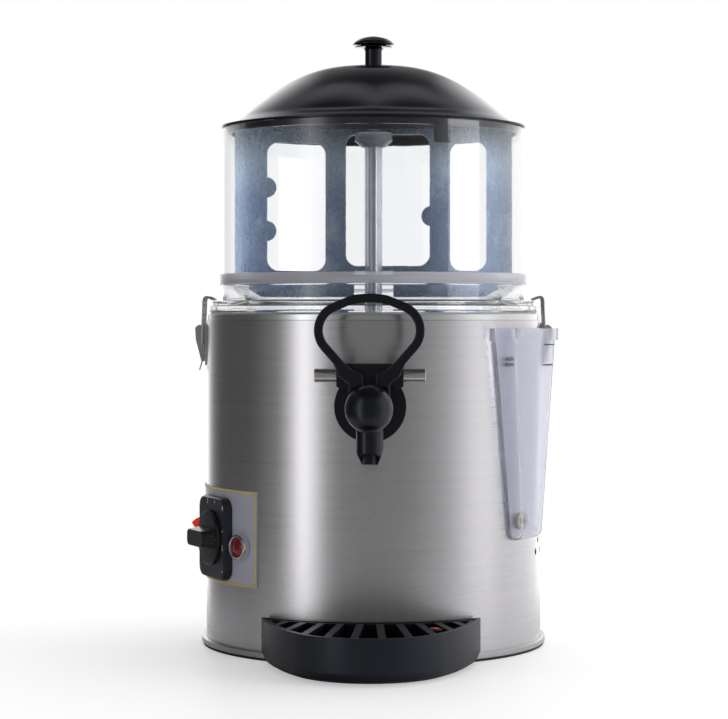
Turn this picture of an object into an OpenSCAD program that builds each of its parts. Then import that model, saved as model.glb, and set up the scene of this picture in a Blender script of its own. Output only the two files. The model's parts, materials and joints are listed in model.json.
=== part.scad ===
// Counter-top drink heater and dispenser: a clear jar with a slow paddle sits in a heated water
// bath inside a round steel body, and a lever tap at the front fills a cup over the drip tray.
// The axis of the body is the Z axis, the counter is z = 0 and the tap points to -Y.

/* [Body] */
// Outer radius of the steel body
shell_r = 130; // [126:1:136]
// Wall of the steel body
shell_t = 1; // [0.8:0.1:1.5]
// Height of the body's top edge above the counter
shell_top = 250; // [246:1:258]
// How far the base plate's rim stands out past the body
rim_out = 3.5; // [2:0.5:5]
// Height of the base plate's rim above the foot ring
rim_h = 4; // [2:0.5:5]
// Sheet thickness of the base plate
plate_t = 1.2; // [1:0.1:2]
// Height of the rubber foot ring
foot_h = 2; // [2:0.5:5]
// Width of the rubber foot ring
foot_w = 8; // [6:0.5:12]
// Height of the steel collar that closes the body
collar_h = 4.7; // [3.5:0.1:7]
// Clearance between pieces that seat on each other
fit = 0.15; // [0.1:0.05:0.25]
// Clearance between pieces that move past each other
play = 0.4; // [0.3:0.05:0.6]

/* [Water bath] */
// From the body's surface in to the inside of the bath pan
pan_in = 19; // [16:1:22]
// Wall of the bath pan
pan_t = 1; // [0.8:0.1:1.5]
// Depth of water under the bowl
bath_depth = 40; // [34:1:46]
// Radius of the heating ring
heater_ring_r = 70; // [60:1:80]
// Radius of the heating tube
heater_tube_r = 4; // [3:0.5:5]

/* [Jar] */
// From the body's surface in to the outside of the clear jar
jar_in = 12; // [9:1:14]
// Wall of the jar
jar_t = 3; // [2:0.5:4]
// Height of the jar's wall above its flange
jar_wall_h = 134; // [120:1:145]
// Height of the jar's flange
flange_h = 9; // [7:0.5:12]
// How far the flange's edge lies inside the body's edge
flange_in = 2; // [1:0.5:4]
// Thickness of the seal under the flange
gasket_h = 1; // [0.8:0.1:2]
// Height of the moulded band above the flange
band_up = 12.9; // [10:0.1:16]
// Height of the moulded band
band_h = 7.8; // [5:0.1:10]
// How far the band stands out
band_out = 1; // [0.5:0.1:2]
// Gap between the bowl under the flange and the bath pan
bowl_gap = 12; // [9:1:17]
// Outer radius of the centre column
column_r = 6.85; // [6.5:0.05:7.5]
// Wall of the centre column
column_t = 1.6; // [1.2:0.1:2]

/* [Lid] */
// Height of the dome above the jar's edge
dome_h = 48; // [40:1:56]
// Wall of the lid
lid_t = 2.5; // [2:0.1:3]
// Depth of the lid's skirt inside the jar
skirt_h = 5; // [4:0.5:8]
// Radius of the knob's stem
knob_stem_r = 6.6; // [5.5:0.1:8]
// Height of the knob above the dome
knob_h = 24; // [20:0.5:28]
// Radius of the knob's cap
knob_r = 16.4; // [14:0.2:19]
// Width of the locating tab on the skirt
tab_w = 13; // [10:1:16]
// Depth of the locating tab below the jar's edge
tab_h = 18; // [14:1:20]

/* [Paddle] */
// Radius of the blade's curve in plan
blade_arc_r = 200; // [180:5:230]
// Gap between the blade's ends and the jar's wall
blade_gap = 8; // [7:0.5:11]
// Sheet thickness of the blade
blade_t = 1.5; // [1.2:0.1:2]
// How far the middle of the blade lies behind the column's axis
blade_back = 15; // [14:0.5:17]
// Width of the upright bars between the windows
blade_bar = 16; // [13:0.5:18]
// Radius of the scallops on the window edges
scallop_r = 8; // [6:0.5:9]
// Radius of the paddle's hub
hub_r = 14.7; // [13:0.1:16]
// Height of the paddle's hub
hub_h = 11.5; // [10:0.5:14]
// Radius of the drive shaft
shaft_r = 4; // [3:0.1:4.5]

/* [Tap] */
// Height of the tap's axis
tap_z = 188; // [182:1:192]
// Radius of the tap's flange
tap_flange_r = 26; // [24:0.5:28]
// Thickness of the tap's flange
tap_flange_t = 6; // [5:0.5:8]
// Radius of the tap's collar
tap_collar_r = 21.5; // [20:0.5:22.5]
// Thickness of the tap's collar
tap_collar_t = 10.8; // [9:0.1:13]
// Radius of the tap's barrel
barrel_r = 11; // [10:0.1:11.5]
// Radius of the bore for the piston
piston_bore_r = 7.4; // [6.5:0.1:8]
// Radius of the round cap on the barrel
cap_r = 17; // [16:0.1:18.5]
// Outer radius of the spout
spout_r = 9.75; // [9:0.05:10.5]
// Wall of the spout
spout_t = 2.2; // [1.8:0.1:2.5]
// Length of the spout below the tap's axis
spout_len = 41; // [36:1:46]
// Height of the lever's loop above the tap's axis
loop_top = 81; // [74:1:88]
// Half width of the lever's loop
loop_half = 39.2; // [35:0.2:43]
// Width of the loop's band
loop_band = 6.4; // [5:0.1:7.5]
// Thickness of the lever
lever_t = 5; // [4:0.1:6]
// Width of the slot between the lever's arms
lever_slot = 8.6; // [7:0.1:10]
// Radius of the pivots on the barrel
pivot_r = 2.5; // [2:0.1:3]
// Radius of the locking rod
rod_r = 5; // [4:0.1:5.5]
// Length of the locking rod
rod_len = 80; // [70:1:90]

/* [Catches] */
// Half width of a catch
catch_half = 9; // [8:0.5:11]
// Radius of the bail's wire
wire_r = 1; // [0.8:0.1:1.3]
// Height of the lever's pivot under the body's top edge
catch_down = 7; // [5:0.5:9]
// Distance from the lever's pivot to the bail's pivot
catch_arm = 13; // [11:0.5:15]
// Sheet thickness of the catch
catch_t = 1; // [0.8:0.1:1.2]

/* [Controls] */
// Angle of the thermostat from the front
dial_angle = -64; // [-70:1:-63]
// Angle of the lamp from the front
lamp_angle = -47.4; // [-48:0.2:-46]
// Angle of the switch from the front
switch_angle = -87; // [-90:1:-86]
// Height of the controls' centre line
control_z = 86; // [80:1:95]
// Height of the control plate
panel_h = 71; // [66:1:76]
// Thickness of the control plate
panel_t = 0.8; // [0.6:0.1:1.2]
// Width of the thermostat's housing
bezel_w = 52; // [50:1:54]
// Height of the thermostat's housing
bezel_h = 62; // [56:1:64]
// How far the thermostat's housing stands out
bezel_out = 5.5; // [5:0.5:8]
// Radius of the thermostat's knob
dial_r = 19.5; // [17:0.5:21]
// Height of the knob's grip above the housing
grip_h = 13.5; // [10:0.5:16]
// Radius of the lamp's bezel
lamp_r = 8.6; // [8:0.1:9.2]
// Width of the switch's frame
switch_w = 24; // [22:1:26]
// Height of the switch's frame
switch_h = 34; // [31:1:37]

/* [Water tank] */
// Angle of the tank from the front
tank_angle = 60; // [57:1:62]
// Half width of the tank's top
tank_half = 39; // [37:1:43]
// Half width of the tank's bottom
tank_foot_half = 21; // [17:1:24]
// How far the tank's top stands out
tank_out = 12; // [11:0.5:15]
// How far the tank's bottom stands out
tank_foot_out = 9; // [8.5:0.5:10]
// Height of the tank's top
tank_top = 244; // [238:1:245]
// Height of the tank's bottom
tank_foot = 86; // [82:1:94]
// Wall of the tank
tank_t = 2; // [1.5:0.1:2.2]
// Height of the tank's rim
tank_rim_h = 9; // [7:0.5:12]
// Angle from the tank's middle to its outlet
outlet_turn = -3; // [-4:0.5:-2]

/* [Drip tray] */
// Half width of the tray
tray_half = 81; // [76:1:84]
// How far the tray reaches from the body's axis
tray_reach = 218; // [210:1:224]
// How far the widest place of the tray lies from the body's axis
tray_wide_at = 92; // [88:1:96]
// Radius of the tray's nose
tray_nose_r = 62; // [58:1:66]
// Height of the tray's edge above the counter
tray_h = 32.5; // [28:0.5:35]
// Wall of the tray
tray_t = 2.2; // [1.8:0.1:3]
// Number of slats in the grille
slats = 10; // [6:2:12]
// Width of a slat
slat_w = 5.4; // [4:0.2:6]
// Radius of the float's stem
float_r = 3.2; // [2.6:0.1:3.6]

/* [Back] */
// Inner radius of the cable gland
gland_bore_r = 3.5; // [3:0.1:4]
// Outer radius of the cable gland's stem
gland_r = 7; // [6.5:0.1:9]
// Length of the gland's bore
gland_len = 20; // [16:1:24]
// Height of the cable gland
gland_z = 30; // [26:1:40]
// Radius of a vent hole
vent_r = 2.5; // [2:0.1:2.8]

/* [Hidden] */
$fn = 96;
eps = 0.01;
bore_fn = 48;
body_fn = 240;

// Heights of the stack, from the counter up
shell_z0 = foot_h + plate_t;
collar_top = shell_top + collar_h;
flange_z0 = collar_top + gasket_h;
flange_z1 = flange_z0 + flange_h;
flange_step_z = flange_z0 + flange_h * 0.6;
band_z0 = flange_z1 + band_up;
band_z1 = band_z0 + band_h;
jar_top = flange_z1 + jar_wall_h;
rim_z = foot_h + rim_h;
rim_r = shell_r + rim_out;

// Water bath and bowl
lip = 9;
pan_r = shell_r - pan_in;
jar_r = shell_r - jar_in;
bowl_r = pan_r - bowl_gap;
blade_half = jar_r - jar_t - blade_gap;
pan_flange_r = shell_r - 3;
collar_in_r = pan_r + 2;
gasket_in_r = jar_r + 1;
flange_r = shell_r - flange_in;
jar_ri = jar_r - jar_t;
bowl_ri = bowl_r - jar_t;
slope_t = jar_t * sqrt(2);
funnel_top = band_z0 + 5.5;
funnel_foot = funnel_top - (jar_ri - bowl_ri);
funnel_under = funnel_top - slope_t;
port_r = 14;
port_bore_r = 8;
port_end = pan_r - 2;
bowl_floor = tap_z - port_bore_r - 1;
bowl_under = bowl_floor - jar_t;
pan_floor = bowl_under - bath_depth;
pan_under = pan_floor - pan_t;
pan_hub_r = column_r + 3;
column_ri = column_r - column_t;
column_foot = 2;
heater_up = 12;
heater_z = pan_floor + heater_up;
heater_pitch = 14;
terminal_h = 8;
bulb_len = 70;
bulb_r = 3;
cutout_r = 8;
cutout_h = 9;
heater_gap = asin(heater_pitch / heater_ring_r);

// Drive
hub_z1 = jar_top - 2.7;
hub_z0 = hub_z1 - hub_h;
column_top = hub_z0 + hub_h / 2 - play;
pillar_h = 6;
bracket_z = pan_under - pillar_h;
bracket_t = 2;
bracket_w = 104;
bracket_d = 64;
gearbox_w = 78;
gearbox_d = 56;
gearbox_h = 26;
gearbox_z1 = bracket_z - bracket_t;
gearbox_z0 = gearbox_z1 - gearbox_h;
pillar_x = bracket_w / 2 - 8;
pillar_y = bracket_d / 2 - 8;
pillar_r = 4;
boss_r = 11;
motor_w = 60;
motor_h = 34;

// Paddle: the blade is a sheet bent to blade_arc_r, with its ends towards the front
blade_axis_y = blade_back - blade_arc_r;
blade_z1 = jar_top + 1.5;
blade_z0 = band_z1 + 1;
side_window_z = [blade_z0 + 2, jar_top - 10];
centre_window_z = [blade_z0 + 6, hub_z1];
window_r = 9;
centre_window = [-22, 44];
left_window = [24 - blade_half, centre_window[0] - blade_bar];
right_window = [centre_window[1] + blade_bar, blade_half - 19];
scallop_step = 34;
window_mid = (side_window_z[0] + side_window_z[1]) / 2 - 2;
strap_half = 12;
foot_z1 = band_z0;
foot_z0 = foot_z1 - 10;
foot_half_top = jar_ri - 18;
foot_window = 15.5;

// Lid
lid_rim_z = jar_top + 0.3;
lid_rim_r = jar_r + 1;
skirt_r = jar_ri - 1.5;
dome_top = jar_top + dome_h;
knob_z0 = dome_top + 1.4;
knob_top = knob_z0 + knob_h;
tab_angle = 27.7;
dome_rise = dome_top - lid_rim_z;
// The dome's outline: the rim flares out to a shoulder, a straight slope climbs from the
// shoulder to the crown, and the crown rounds over to a flat top
dome_rim = [lid_rim_r, lid_rim_z + 1.4];
dome_shoulder = [lid_rim_r - 16.5, lid_rim_z + dome_rise * 0.2];
dome_crown = [lid_rim_r * 0.563, lid_rim_z + dome_rise * 0.745];
dome_flat = [lid_rim_r * 0.375, dome_top];
lid_bore_r = 2.6;
slope_in = [-0.58 * lid_t, -0.82 * lid_t];
function curve(p, q, r, n) =
  [for (i = [0:n]) let (t = i / n) (1 - t) * (1 - t) * p + 2 * t * (1 - t) * q + t * t * r];

// Tap: sizes along the tap are measured outwards from the body's surface
shell_sag = 4;
tap_face = tap_flange_t;
tap_collar_u = tap_face + 0.2;
collar_u1 = tap_collar_u + tap_collar_t;
spout_u = collar_u1 + spout_r - 0.8;
seat_u = spout_u - piston_bore_r - 4;
arm_u = spout_u + spout_r + lever_t / 2 - 0.2;
pivot_down = 6;
pin_up = 2;
cap_back_u = arm_u + 11;
barrel_u1 = cap_back_u + 5;
cap_u = cap_back_u + 1.5;
spring_pocket_u = cap_u + cap_r - 3;
spigot_r = 7.9;
spigot_len = shell_r - port_end + 4;
tap_hole_r = spigot_r + 3;
sleeve_len = 14;
rod_u = (tap_collar_u + collar_u1) / 2;
rod_up = tap_collar_r + 1;
saddle_half = 24;
saddle_top = rod_up + rod_r + 3.5;
saddle_u1 = rod_u + rod_r + 2.5;
pin_r = 1.5;
pin_slot = 5.5;
arm_in = barrel_r + play;
arm_w = 3.2;
arm_out = arm_in + arm_w;
eye_r = 5;
neck_z = 17;
waist_z = 24;
waist_r = 23;
crown_r = 60;
crown_half = 13;
loop_side_z = loop_top - 26;
loop_side_r = 14.6;
mouth_tilt = 31;
lip_h = 10.7;
lip_lean = 21;
spring_r = piston_bore_r - 1.3;
spring_wire_r = 0.5;
spring_turns = 5;
spring_steps = 10;
spring_sides = 6;
spring_u0 = arm_u + 8.5 + spring_wire_r + 0.1;
spring_u1 = spring_pocket_u - spring_wire_r - 0.1;

// Catches: rho is measured from the body's axis
catch_z = shell_top - catch_down;
catch_rho = shell_r + 5.2;
bail_rho = catch_rho - 1.6;
bail_z = catch_z - catch_arm;
bail_top_z = flange_z1 + wire_r + 0.7;
bail_bend_rho = shell_r + 2;
bail_tip_rho = flange_r - 4.3;
ear_half = catch_half - 3;
catch_base_h = 33;
catch_pin_r = 1.3;
ear_r = 2.3;

// Controls
panel_r = shell_r + fit / 3 + panel_t;
panel_from = -40;
panel_to = -101;
bezel_face = shell_r + bezel_out;
dial_well_r = dial_r + 1;
dial_well = 3.5;
dial_sunk = 0.5;
bezel_ease = 1.2;
bezel_corner = 9;
grip_w = 12;
grip_foot = 17;
spindle_r = 3;
lamp_z = control_z - 4.2;
lamp_out = 4.6;
lens_r = lamp_r - 1.25;
lens_ball_r = 14;
lens_rise = lens_ball_r - sqrt(lens_ball_r * lens_ball_r - lens_r * lens_r);
thermostat_w = 36;
thermostat_d = 22;
rocker_tilt = 8;
rocker_pivot = panel_r + 1;

// Tank
tank_r = shell_r + fit;
tank_corner = 8;
outlet_up = 14;
outlet_z = tank_foot + outlet_up;
outlet_r = 4;
pipe_bend_in = 14;
pipe_bend_rho = pan_r - pipe_bend_in;
clip_z = tank_top - 28;
clip_w = 10.4;
clip_bar_h = 2.6;
clip_step = 4;

// Tray: a nose arc meets two side arcs
nose_y = -(tray_reach - tray_nose_r);
nose_gap = -tray_wide_at - nose_y;
side_r = (tray_nose_r * tray_nose_r - nose_gap * nose_gap - tray_half * tray_half)
  / (2 * (tray_nose_r - tray_half));
nose_cut = nose_y - tray_nose_r * nose_gap / (side_r - tray_nose_r);
tray_gap = 1;
tray_z0 = 0.8;
tray_floor = tray_z0 + tray_t;
tray_foot_h = 7;
ledge_z = tray_h - 4.6;
ledge_w = 2;
grille_z0 = ledge_z + 0.3;
grille_z1 = tray_h - 0.6;
grille_edge = 3.6;
fan_y = 50;
fan_step = 4.25;
float_x = 46;
float_y = -165;
float_ring = 2.2;
tongue_x = 32;
tongue_w = 12;
tongue_t = 2;
tongue_z = 15;
tongue_len = 12;

// Vents
vent_first = 73.2;
vent_step = 3.75;
vent_columns = 10;
vent_rise = 16.8;
vent_z = 73.5;

// Turns a piece to an angle from the front; its outward direction is then local -Y
module turned(angle) {
  rotate([0, 0, angle]) children();
}

// A round bar along local -Y, from one radius to another
module spoke(rho0, rho1, r, sides = bore_fn) {
  translate([0, -rho0, 0]) rotate([90, 0, 0]) cylinder(h = rho1 - rho0, r = r, $fn = sides);
}

// The same bar at the tap's height, measured from the body's surface
module tap_spoke(u0, u1, r, sides = bore_fn) {
  translate([0, 0, tap_z]) spoke(shell_r + u0, shell_r + u1, r, sides);
}

// A plate in local XZ that stands outwards from rho0 to rho1
module slab(rho0, rho1) {
  translate([0, -rho0, 0]) rotate([90, 0, 0]) linear_extrude(rho1 - rho0) children();
}

module tube(r_in, r_out, z0, z1, sides = body_fn) {
  translate([0, 0, z0]) difference() {
    cylinder(h = z1 - z0, r = r_out, $fn = sides);
    translate([0, 0, -1]) cylinder(h = z1 - z0 + 2, r = r_in, $fn = sides);
  }
}

module rounded_rect(w, h, r) {
  square([w - 2 * r, h], center = true);
  square([w, h - 2 * r], center = true);
  for (x = [-1, 1], z = [-1, 1]) translate([x * (w / 2 - r), z * (h / 2 - r)]) circle(r, $fn = 32);
}

// A bar of wire between two points
module wire(from, to, r) {
  d = to - from;
  flat = norm([d[0], d[1]]);
  translate(from) rotate([0, atan2(flat, d[2]), atan2(d[1], d[0])])
    cylinder(h = norm(d), r = r, $fn = 24);
}

// The joint between two bars, a little fuller than the bars
module elbow(at, r) {
  translate(at) sphere(r * 1.04, $fn = 24);
}

module body_cut(r) {
  translate([0, 0, -1]) cylinder(h = flange_z0, r = r, $fn = body_fn);
}

// ---------- Body ----------

module outer_shell() color([0.72, 0.72, 0.73]) difference() {
  union() {
    tube(shell_r - shell_t, shell_r, shell_z0, shell_top);
    tube(shell_r - lip, shell_r - shell_t / 2, shell_top - shell_t, shell_top);
  }
  tap_spoke(-2 * shell_sag, 2, tap_hole_r);
  turned(dial_angle) translate([0, 0, control_z]) spoke(shell_r - 5, shell_r + 2, spindle_r + 1);
  turned(lamp_angle) translate([0, 0, lamp_z]) spoke(shell_r - 5, shell_r + 2, lamp_r - 2);
  turned(switch_angle) translate([0, 0, control_z])
    slab(shell_r - 8, shell_r + 2) square([switch_w - 4, switch_h - 4], center = true);
  turned(tank_angle + outlet_turn) translate([0, 0, outlet_z])
    spoke(shell_r - 5, shell_r + 2, outlet_r + fit);
  translate([0, 0, gland_z]) turned(180) spoke(shell_r - 5, shell_r + 2, gland_r - 1);
  for (i = [0:vent_columns - 1], k = [0, 1])
    turned(vent_first + i * vent_step)
      translate([0, 0, vent_z + k * vent_rise + (i % 2) * vent_rise / 2])
        spoke(shell_r - 4, shell_r + 2, vent_r, 24);
}

module base_plate() color([0.66, 0.66, 0.68]) difference() {
  union() {
    translate([0, 0, foot_h]) cylinder(h = plate_t, r = rim_r);
    tube(shell_r + fit, rim_r, foot_h, rim_z);
    tube(shell_r - shell_t - fit - plate_t, shell_r - shell_t - fit, foot_h, rim_z + lip);
  }
  for (a = [0:30:330]) turned(a)
    translate([-3, -shell_r * 0.62, foot_h - 1]) cube([6, shell_r * 0.28, plate_t + 2]);
}

module foot_ring() color([0.06, 0.06, 0.07])
  tube(rim_r - 1 - foot_w, rim_r - 1, 0, foot_h);

module top_collar() color([0.82, 0.82, 0.84]) difference() {
  tube(collar_in_r, shell_r - 0.5, shell_top, collar_top);
  translate([0, 0, shell_top - 1]) cylinder(h = 1 + pan_t + fit, r = pan_flange_r + fit);
}

// ---------- Water bath ----------

module bath_pan() color([0.7, 0.71, 0.73]) difference() {
  union() {
    tube(pan_r, pan_r + pan_t, pan_under, shell_top + pan_t);
    tube(pan_r, pan_flange_r, shell_top, shell_top + pan_t);
    tube(pan_hub_r - pan_t, pan_r + pan_t / 2, pan_under, pan_floor);
    tube(pan_hub_r - pan_t, pan_hub_r, pan_under, bowl_under - 0.3);
  }
  tap_spoke(pan_r - shell_r - 3, pan_r - shell_r + 3, tap_hole_r);
  for (x = [-1, 1]) translate([x * heater_pitch, heater_ring_r * cos(heater_gap), pan_under - 1])
    cylinder(h = pan_t + 2, r = heater_tube_r + fit, $fn = bore_fn);
  turned(tank_angle + outlet_turn) translate([0, -pipe_bend_rho, pan_under - 1])
    cylinder(h = pan_t + 2, r = outlet_r + fit, $fn = bore_fn);
}

module heating_element() color([0.45, 0.4, 0.38]) {
  translate([0, 0, heater_z]) rotate([0, 0, 90 + heater_gap])
    rotate_extrude(angle = 360 - 2 * heater_gap)
      translate([heater_ring_r, 0]) circle(heater_tube_r, $fn = 32);
  for (x = [-1, 1]) translate([x * heater_pitch, heater_ring_r * cos(heater_gap), 0]) {
    translate([0, 0, heater_z]) sphere(heater_tube_r * 1.02, $fn = 32);
    translate([0, 0, pan_under - terminal_h])
      cylinder(h = heater_z - pan_under + terminal_h, r = heater_tube_r, $fn = 32);
  }
}

module jar_gasket() color([0.85, 0.85, 0.85])
  tube(gasket_in_r, flange_r - 1, collar_top, flange_z0);

module jar() color([0.85, 0.9, 0.95, 0.35])
  rotate_extrude() polygon([
    [jar_ri, flange_z0], [flange_r, flange_z0], [flange_r, flange_step_z],
    [flange_r - 2, flange_step_z], [flange_r - 2, flange_z1], [jar_r, flange_z1],
    [jar_r, band_z0], [jar_r + band_out, band_z0], [jar_r + band_out, band_z1],
    [jar_r, band_z1], [jar_r, jar_top], [jar_ri, jar_top]]);

// The bowl is bonded into the foot of the jar
module jar_bowl() color([0.85, 0.9, 0.95, 0.35]) {
  joint_r = jar_ri - fit / 3;
  difference() {
    union() {
      rotate_extrude() polygon([
        [column_r + fit / 3, bowl_under], [bowl_r, bowl_under],
        [bowl_r, funnel_under - (joint_r - bowl_r)], [joint_r, funnel_under],
        [joint_r, funnel_top], [bowl_ri, funnel_foot], [bowl_ri, bowl_floor],
        [column_r + fit / 3, bowl_floor]]);
      tap_spoke(bowl_ri + 1 - shell_r, port_end - shell_r, port_r);
    }
    tap_spoke(bowl_ri - 8 - shell_r, port_end - shell_r + 1, port_bore_r);
  }
}

// The column stands on the bowl's floor by its foot ring
module jar_column() color([0.85, 0.9, 0.95, 0.35])
  rotate_extrude() polygon([
    [column_ri, bowl_under], [column_r, bowl_under], [column_r, bowl_floor],
    [column_r + column_foot, bowl_floor], [column_r + column_foot, bowl_floor + column_foot],
    [column_r, bowl_floor + column_foot], [column_r, column_top], [column_ri, column_top]]);

// ---------- Drive ----------

module gearbox() color([0.6, 0.61, 0.63]) difference() {
  union() {
    translate([0, 0, gearbox_z0]) linear_extrude(gearbox_h)
      rounded_rect(gearbox_w, gearbox_d, 10);
    translate([0, 0, gearbox_z1]) cylinder(h = bracket_t + 3, r = boss_r, $fn = bore_fn);
  }
  translate([0, 0, gearbox_z0 + 4])
    cylinder(h = gearbox_h + 8, r = shaft_r + 0.08, $fn = bore_fn);
}

module motor() color([0.3, 0.3, 0.32]) {
  translate([-motor_w / 2, -motor_w * 0.42, gearbox_z0 - motor_h])
    cube([motor_w, motor_w * 0.84, motor_h * 0.6]);
  translate([0, 0, gearbox_z0 - motor_h * 0.41]) cylinder(h = motor_h * 0.41, r = motor_w * 0.36);
  translate([0, 0, gearbox_z0 - motor_h - 6]) cylinder(h = 6.5, r = motor_w * 0.3);
}

module motor_bracket() color([0.75, 0.76, 0.78]) {
  difference() {
    translate([0, 0, bracket_z - bracket_t]) linear_extrude(bracket_t)
      rounded_rect(bracket_w, bracket_d, 8);
    translate([0, 0, bracket_z - bracket_t - 1])
      cylinder(h = bracket_t + 2, r = boss_r + fit, $fn = bore_fn);
  }
  for (x = [-1, 1], y = [-1, 1]) translate([x * pillar_x, y * pillar_y, bracket_z])
    cylinder(h = pillar_h, r = pillar_r, $fn = 32);
}

module drive_shaft() color([0.8, 0.8, 0.82]) {
  translate([0, 0, gearbox_z0 + 6])
    cylinder(h = hub_z1 - 3 - gearbox_z0 - 6, r = shaft_r, $fn = bore_fn);
}

// ---------- Paddle ----------

module window_2d(span, z) {
  translate([(span[0] + span[1]) / 2, (z[0] + z[1]) / 2])
    rounded_rect(span[1] - span[0], z[1] - z[0], window_r);
}

module blade_outline_2d() {
  difference() {
    translate([0, (blade_z0 + blade_z1) / 2])
      square([2 * blade_half, blade_z1 - blade_z0], center = true);
    difference() {
      union() {
        window_2d(left_window, side_window_z);
        window_2d(centre_window, centre_window_z);
        window_2d(right_window, side_window_z);
      }
      for (k = [-0.5, 0.5]) translate([left_window[0] - 1, window_mid + k * scallop_step])
        circle(scallop_r, $fn = 48);
      translate([centre_window[1] + 1.5, window_mid - 5]) circle(scallop_r, $fn = 48);
    }
  }
  // The foot follows the funnel of the bowl, and a neck joins it to the blade
  difference() {
    union() {
      polygon([[-foot_half_top, foot_z1], [-foot_half_top + 10, foot_z0],
        [foot_half_top - 10, foot_z0], [foot_half_top, foot_z1]]);
      translate([-foot_half_top, foot_z1 - eps])
        square([2 * foot_half_top, blade_z0 - foot_z1 + 2 * eps]);
    }
    translate([-foot_window, foot_z0 - 1])
      square([2 * foot_window, centre_window_z[0] - 3.6 - foot_z0 + 1]);
  }
}

module paddle_blade() color([0.62, 0.66, 0.72]) {
  intersection() {
    translate([0, blade_axis_y, 0])
      tube(blade_arc_r, blade_arc_r + blade_t, foot_z0 - 1, blade_z1 + 1);
    translate([0, jar_r, 0]) rotate([90, 0, 0]) linear_extrude(2 * jar_r) blade_outline_2d();
  }
  // A strap carries the blade on the hub
  difference() {
    translate([-strap_half, 0, hub_z1]) cube([2 * strap_half, blade_back + blade_t / 2, blade_t]);
    translate([0, 0, hub_z1 - 1]) cylinder(h = blade_t + 2, r = shaft_r + 1, $fn = bore_fn);
  }
}

module paddle_hub() color([0.5, 0.52, 0.55]) difference() {
  union() {
    translate([0, 0, hub_z0 + hub_h * 0.45]) cylinder(h = hub_h * 0.55, r = hub_r);
    translate([0, 0, hub_z0]) cylinder(h = hub_h * 0.45, r1 = hub_r * 0.63, r2 = hub_r);
    translate([0, 0, hub_z1 - eps]) cylinder(h = blade_t + 1, r = shaft_r + 1 - fit, $fn = bore_fn);
  }
  translate([0, 0, hub_z0 - 1])
    cylinder(h = hub_h / 2 + 1, r = column_r + play, $fn = bore_fn);
  translate([0, 0, hub_z0]) cylinder(h = hub_h - 3 + fit, r = shaft_r + fit / 2, $fn = bore_fn);
  // The blade passes the back of the hub
  translate([0, blade_axis_y, 0])
    tube(blade_arc_r - fit, blade_arc_r + 20, hub_z0 - 1, hub_z1 + 5);
}

// ---------- Lid ----------

module lid_shell() color([0.08, 0.08, 0.1]) {
  rotate_extrude($fn = body_fn) polygon(concat(
    [[skirt_r - lid_t, lid_rim_z], [skirt_r - lid_t, lid_rim_z - skirt_h],
     [skirt_r, lid_rim_z - skirt_h], [skirt_r, lid_rim_z], [lid_rim_r, lid_rim_z]],
    curve(dome_rim, [lid_rim_r - 11.5, lid_rim_z + 3.6], dome_shoulder, 6),
    curve(dome_crown, dome_flat, [lid_bore_r, dome_top], 10),
    curve([lid_bore_r, dome_top - lid_t], dome_flat - [0, lid_t], dome_crown + slope_in, 10),
    [dome_shoulder + slope_in]));
  turned(tab_angle) intersection() {
    tube(skirt_r - lid_t + 0.4, skirt_r - 0.3, jar_top - tab_h, lid_rim_z - 1);
    translate([-tab_w / 2, -jar_r, jar_top - tab_h - 1]) cube([tab_w, 20, tab_h + 2]);
  }
}

module lid_knob() color([0.07, 0.07, 0.09]) {
  stem_h = knob_h - 9.4;
  cap_h = 7.6;
  translate([0, 0, knob_z0]) cylinder(h = knob_h - cap_h + 1, r = knob_stem_r, $fn = bore_fn);
  translate([0, 0, knob_z0]) rotate_extrude() polygon([
    [0, stem_h], [knob_stem_r, stem_h], [knob_r * 0.9, stem_h - 0.2], [knob_r * 0.9, stem_h + 0.6],
    [knob_stem_r, stem_h + 1.6], [0, stem_h + 1.6]]);
  // The cap is a slice of a ball
  ball_r = (knob_r * knob_r + cap_h * cap_h) / (2 * cap_h);
  intersection() {
    translate([0, 0, knob_top - ball_r]) sphere(ball_r);
    translate([0, 0, knob_top - cap_h]) cylinder(h = cap_h + 1, r = knob_r);
  }
  translate([0, 0, dome_top - 9])
    cylinder(h = knob_z0 - dome_top + 10, r = lid_bore_r - 0.1, $fn = bore_fn);
}

module knob_washer() color([0.12, 0.12, 0.14])
  tube(lid_bore_r, knob_stem_r * 2.95, dome_top, knob_z0);

// ---------- Tap ----------

module saddle_2d() {
  polygon([[-saddle_half, saddle_top], [saddle_half, saddle_top], [saddle_half, 15],
    [17, 9], [-17, 9], [-saddle_half, 15]]);
}

module tap_flange() color([0.09, 0.09, 0.11]) difference() {
  union() {
    difference() {
      union() {
        tap_spoke(-shell_sag, tap_face, tap_flange_r, 96);
        translate([0, 0, tap_z]) slab(shell_r - shell_sag, shell_r + saddle_u1) saddle_2d();
      }
      body_cut(shell_r + fit / 3);
    }
    tap_spoke(-sleeve_len, 1, tap_hole_r - fit);
  }
  tap_spoke(-sleeve_len - 1, 2 * tap_face, spigot_r + fit);
  tap_spoke(tap_face, saddle_u1 + 1, tap_collar_r + play, 96);
  translate([-saddle_half - 1, -(shell_r + rod_u), tap_z + rod_up]) rotate([0, 90, 0])
    cylinder(h = 2 * saddle_half + 2, r = rod_r + 0.08, $fn = bore_fn);
}

module tap_nut() color([0.75, 0.75, 0.78]) difference() {
  tap_spoke(-sleeve_len + 1, -shell_sag - 1, tap_hole_r + 5, 6);
  tap_spoke(-sleeve_len, 0, tap_hole_r - fit + 0.05);
}

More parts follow.
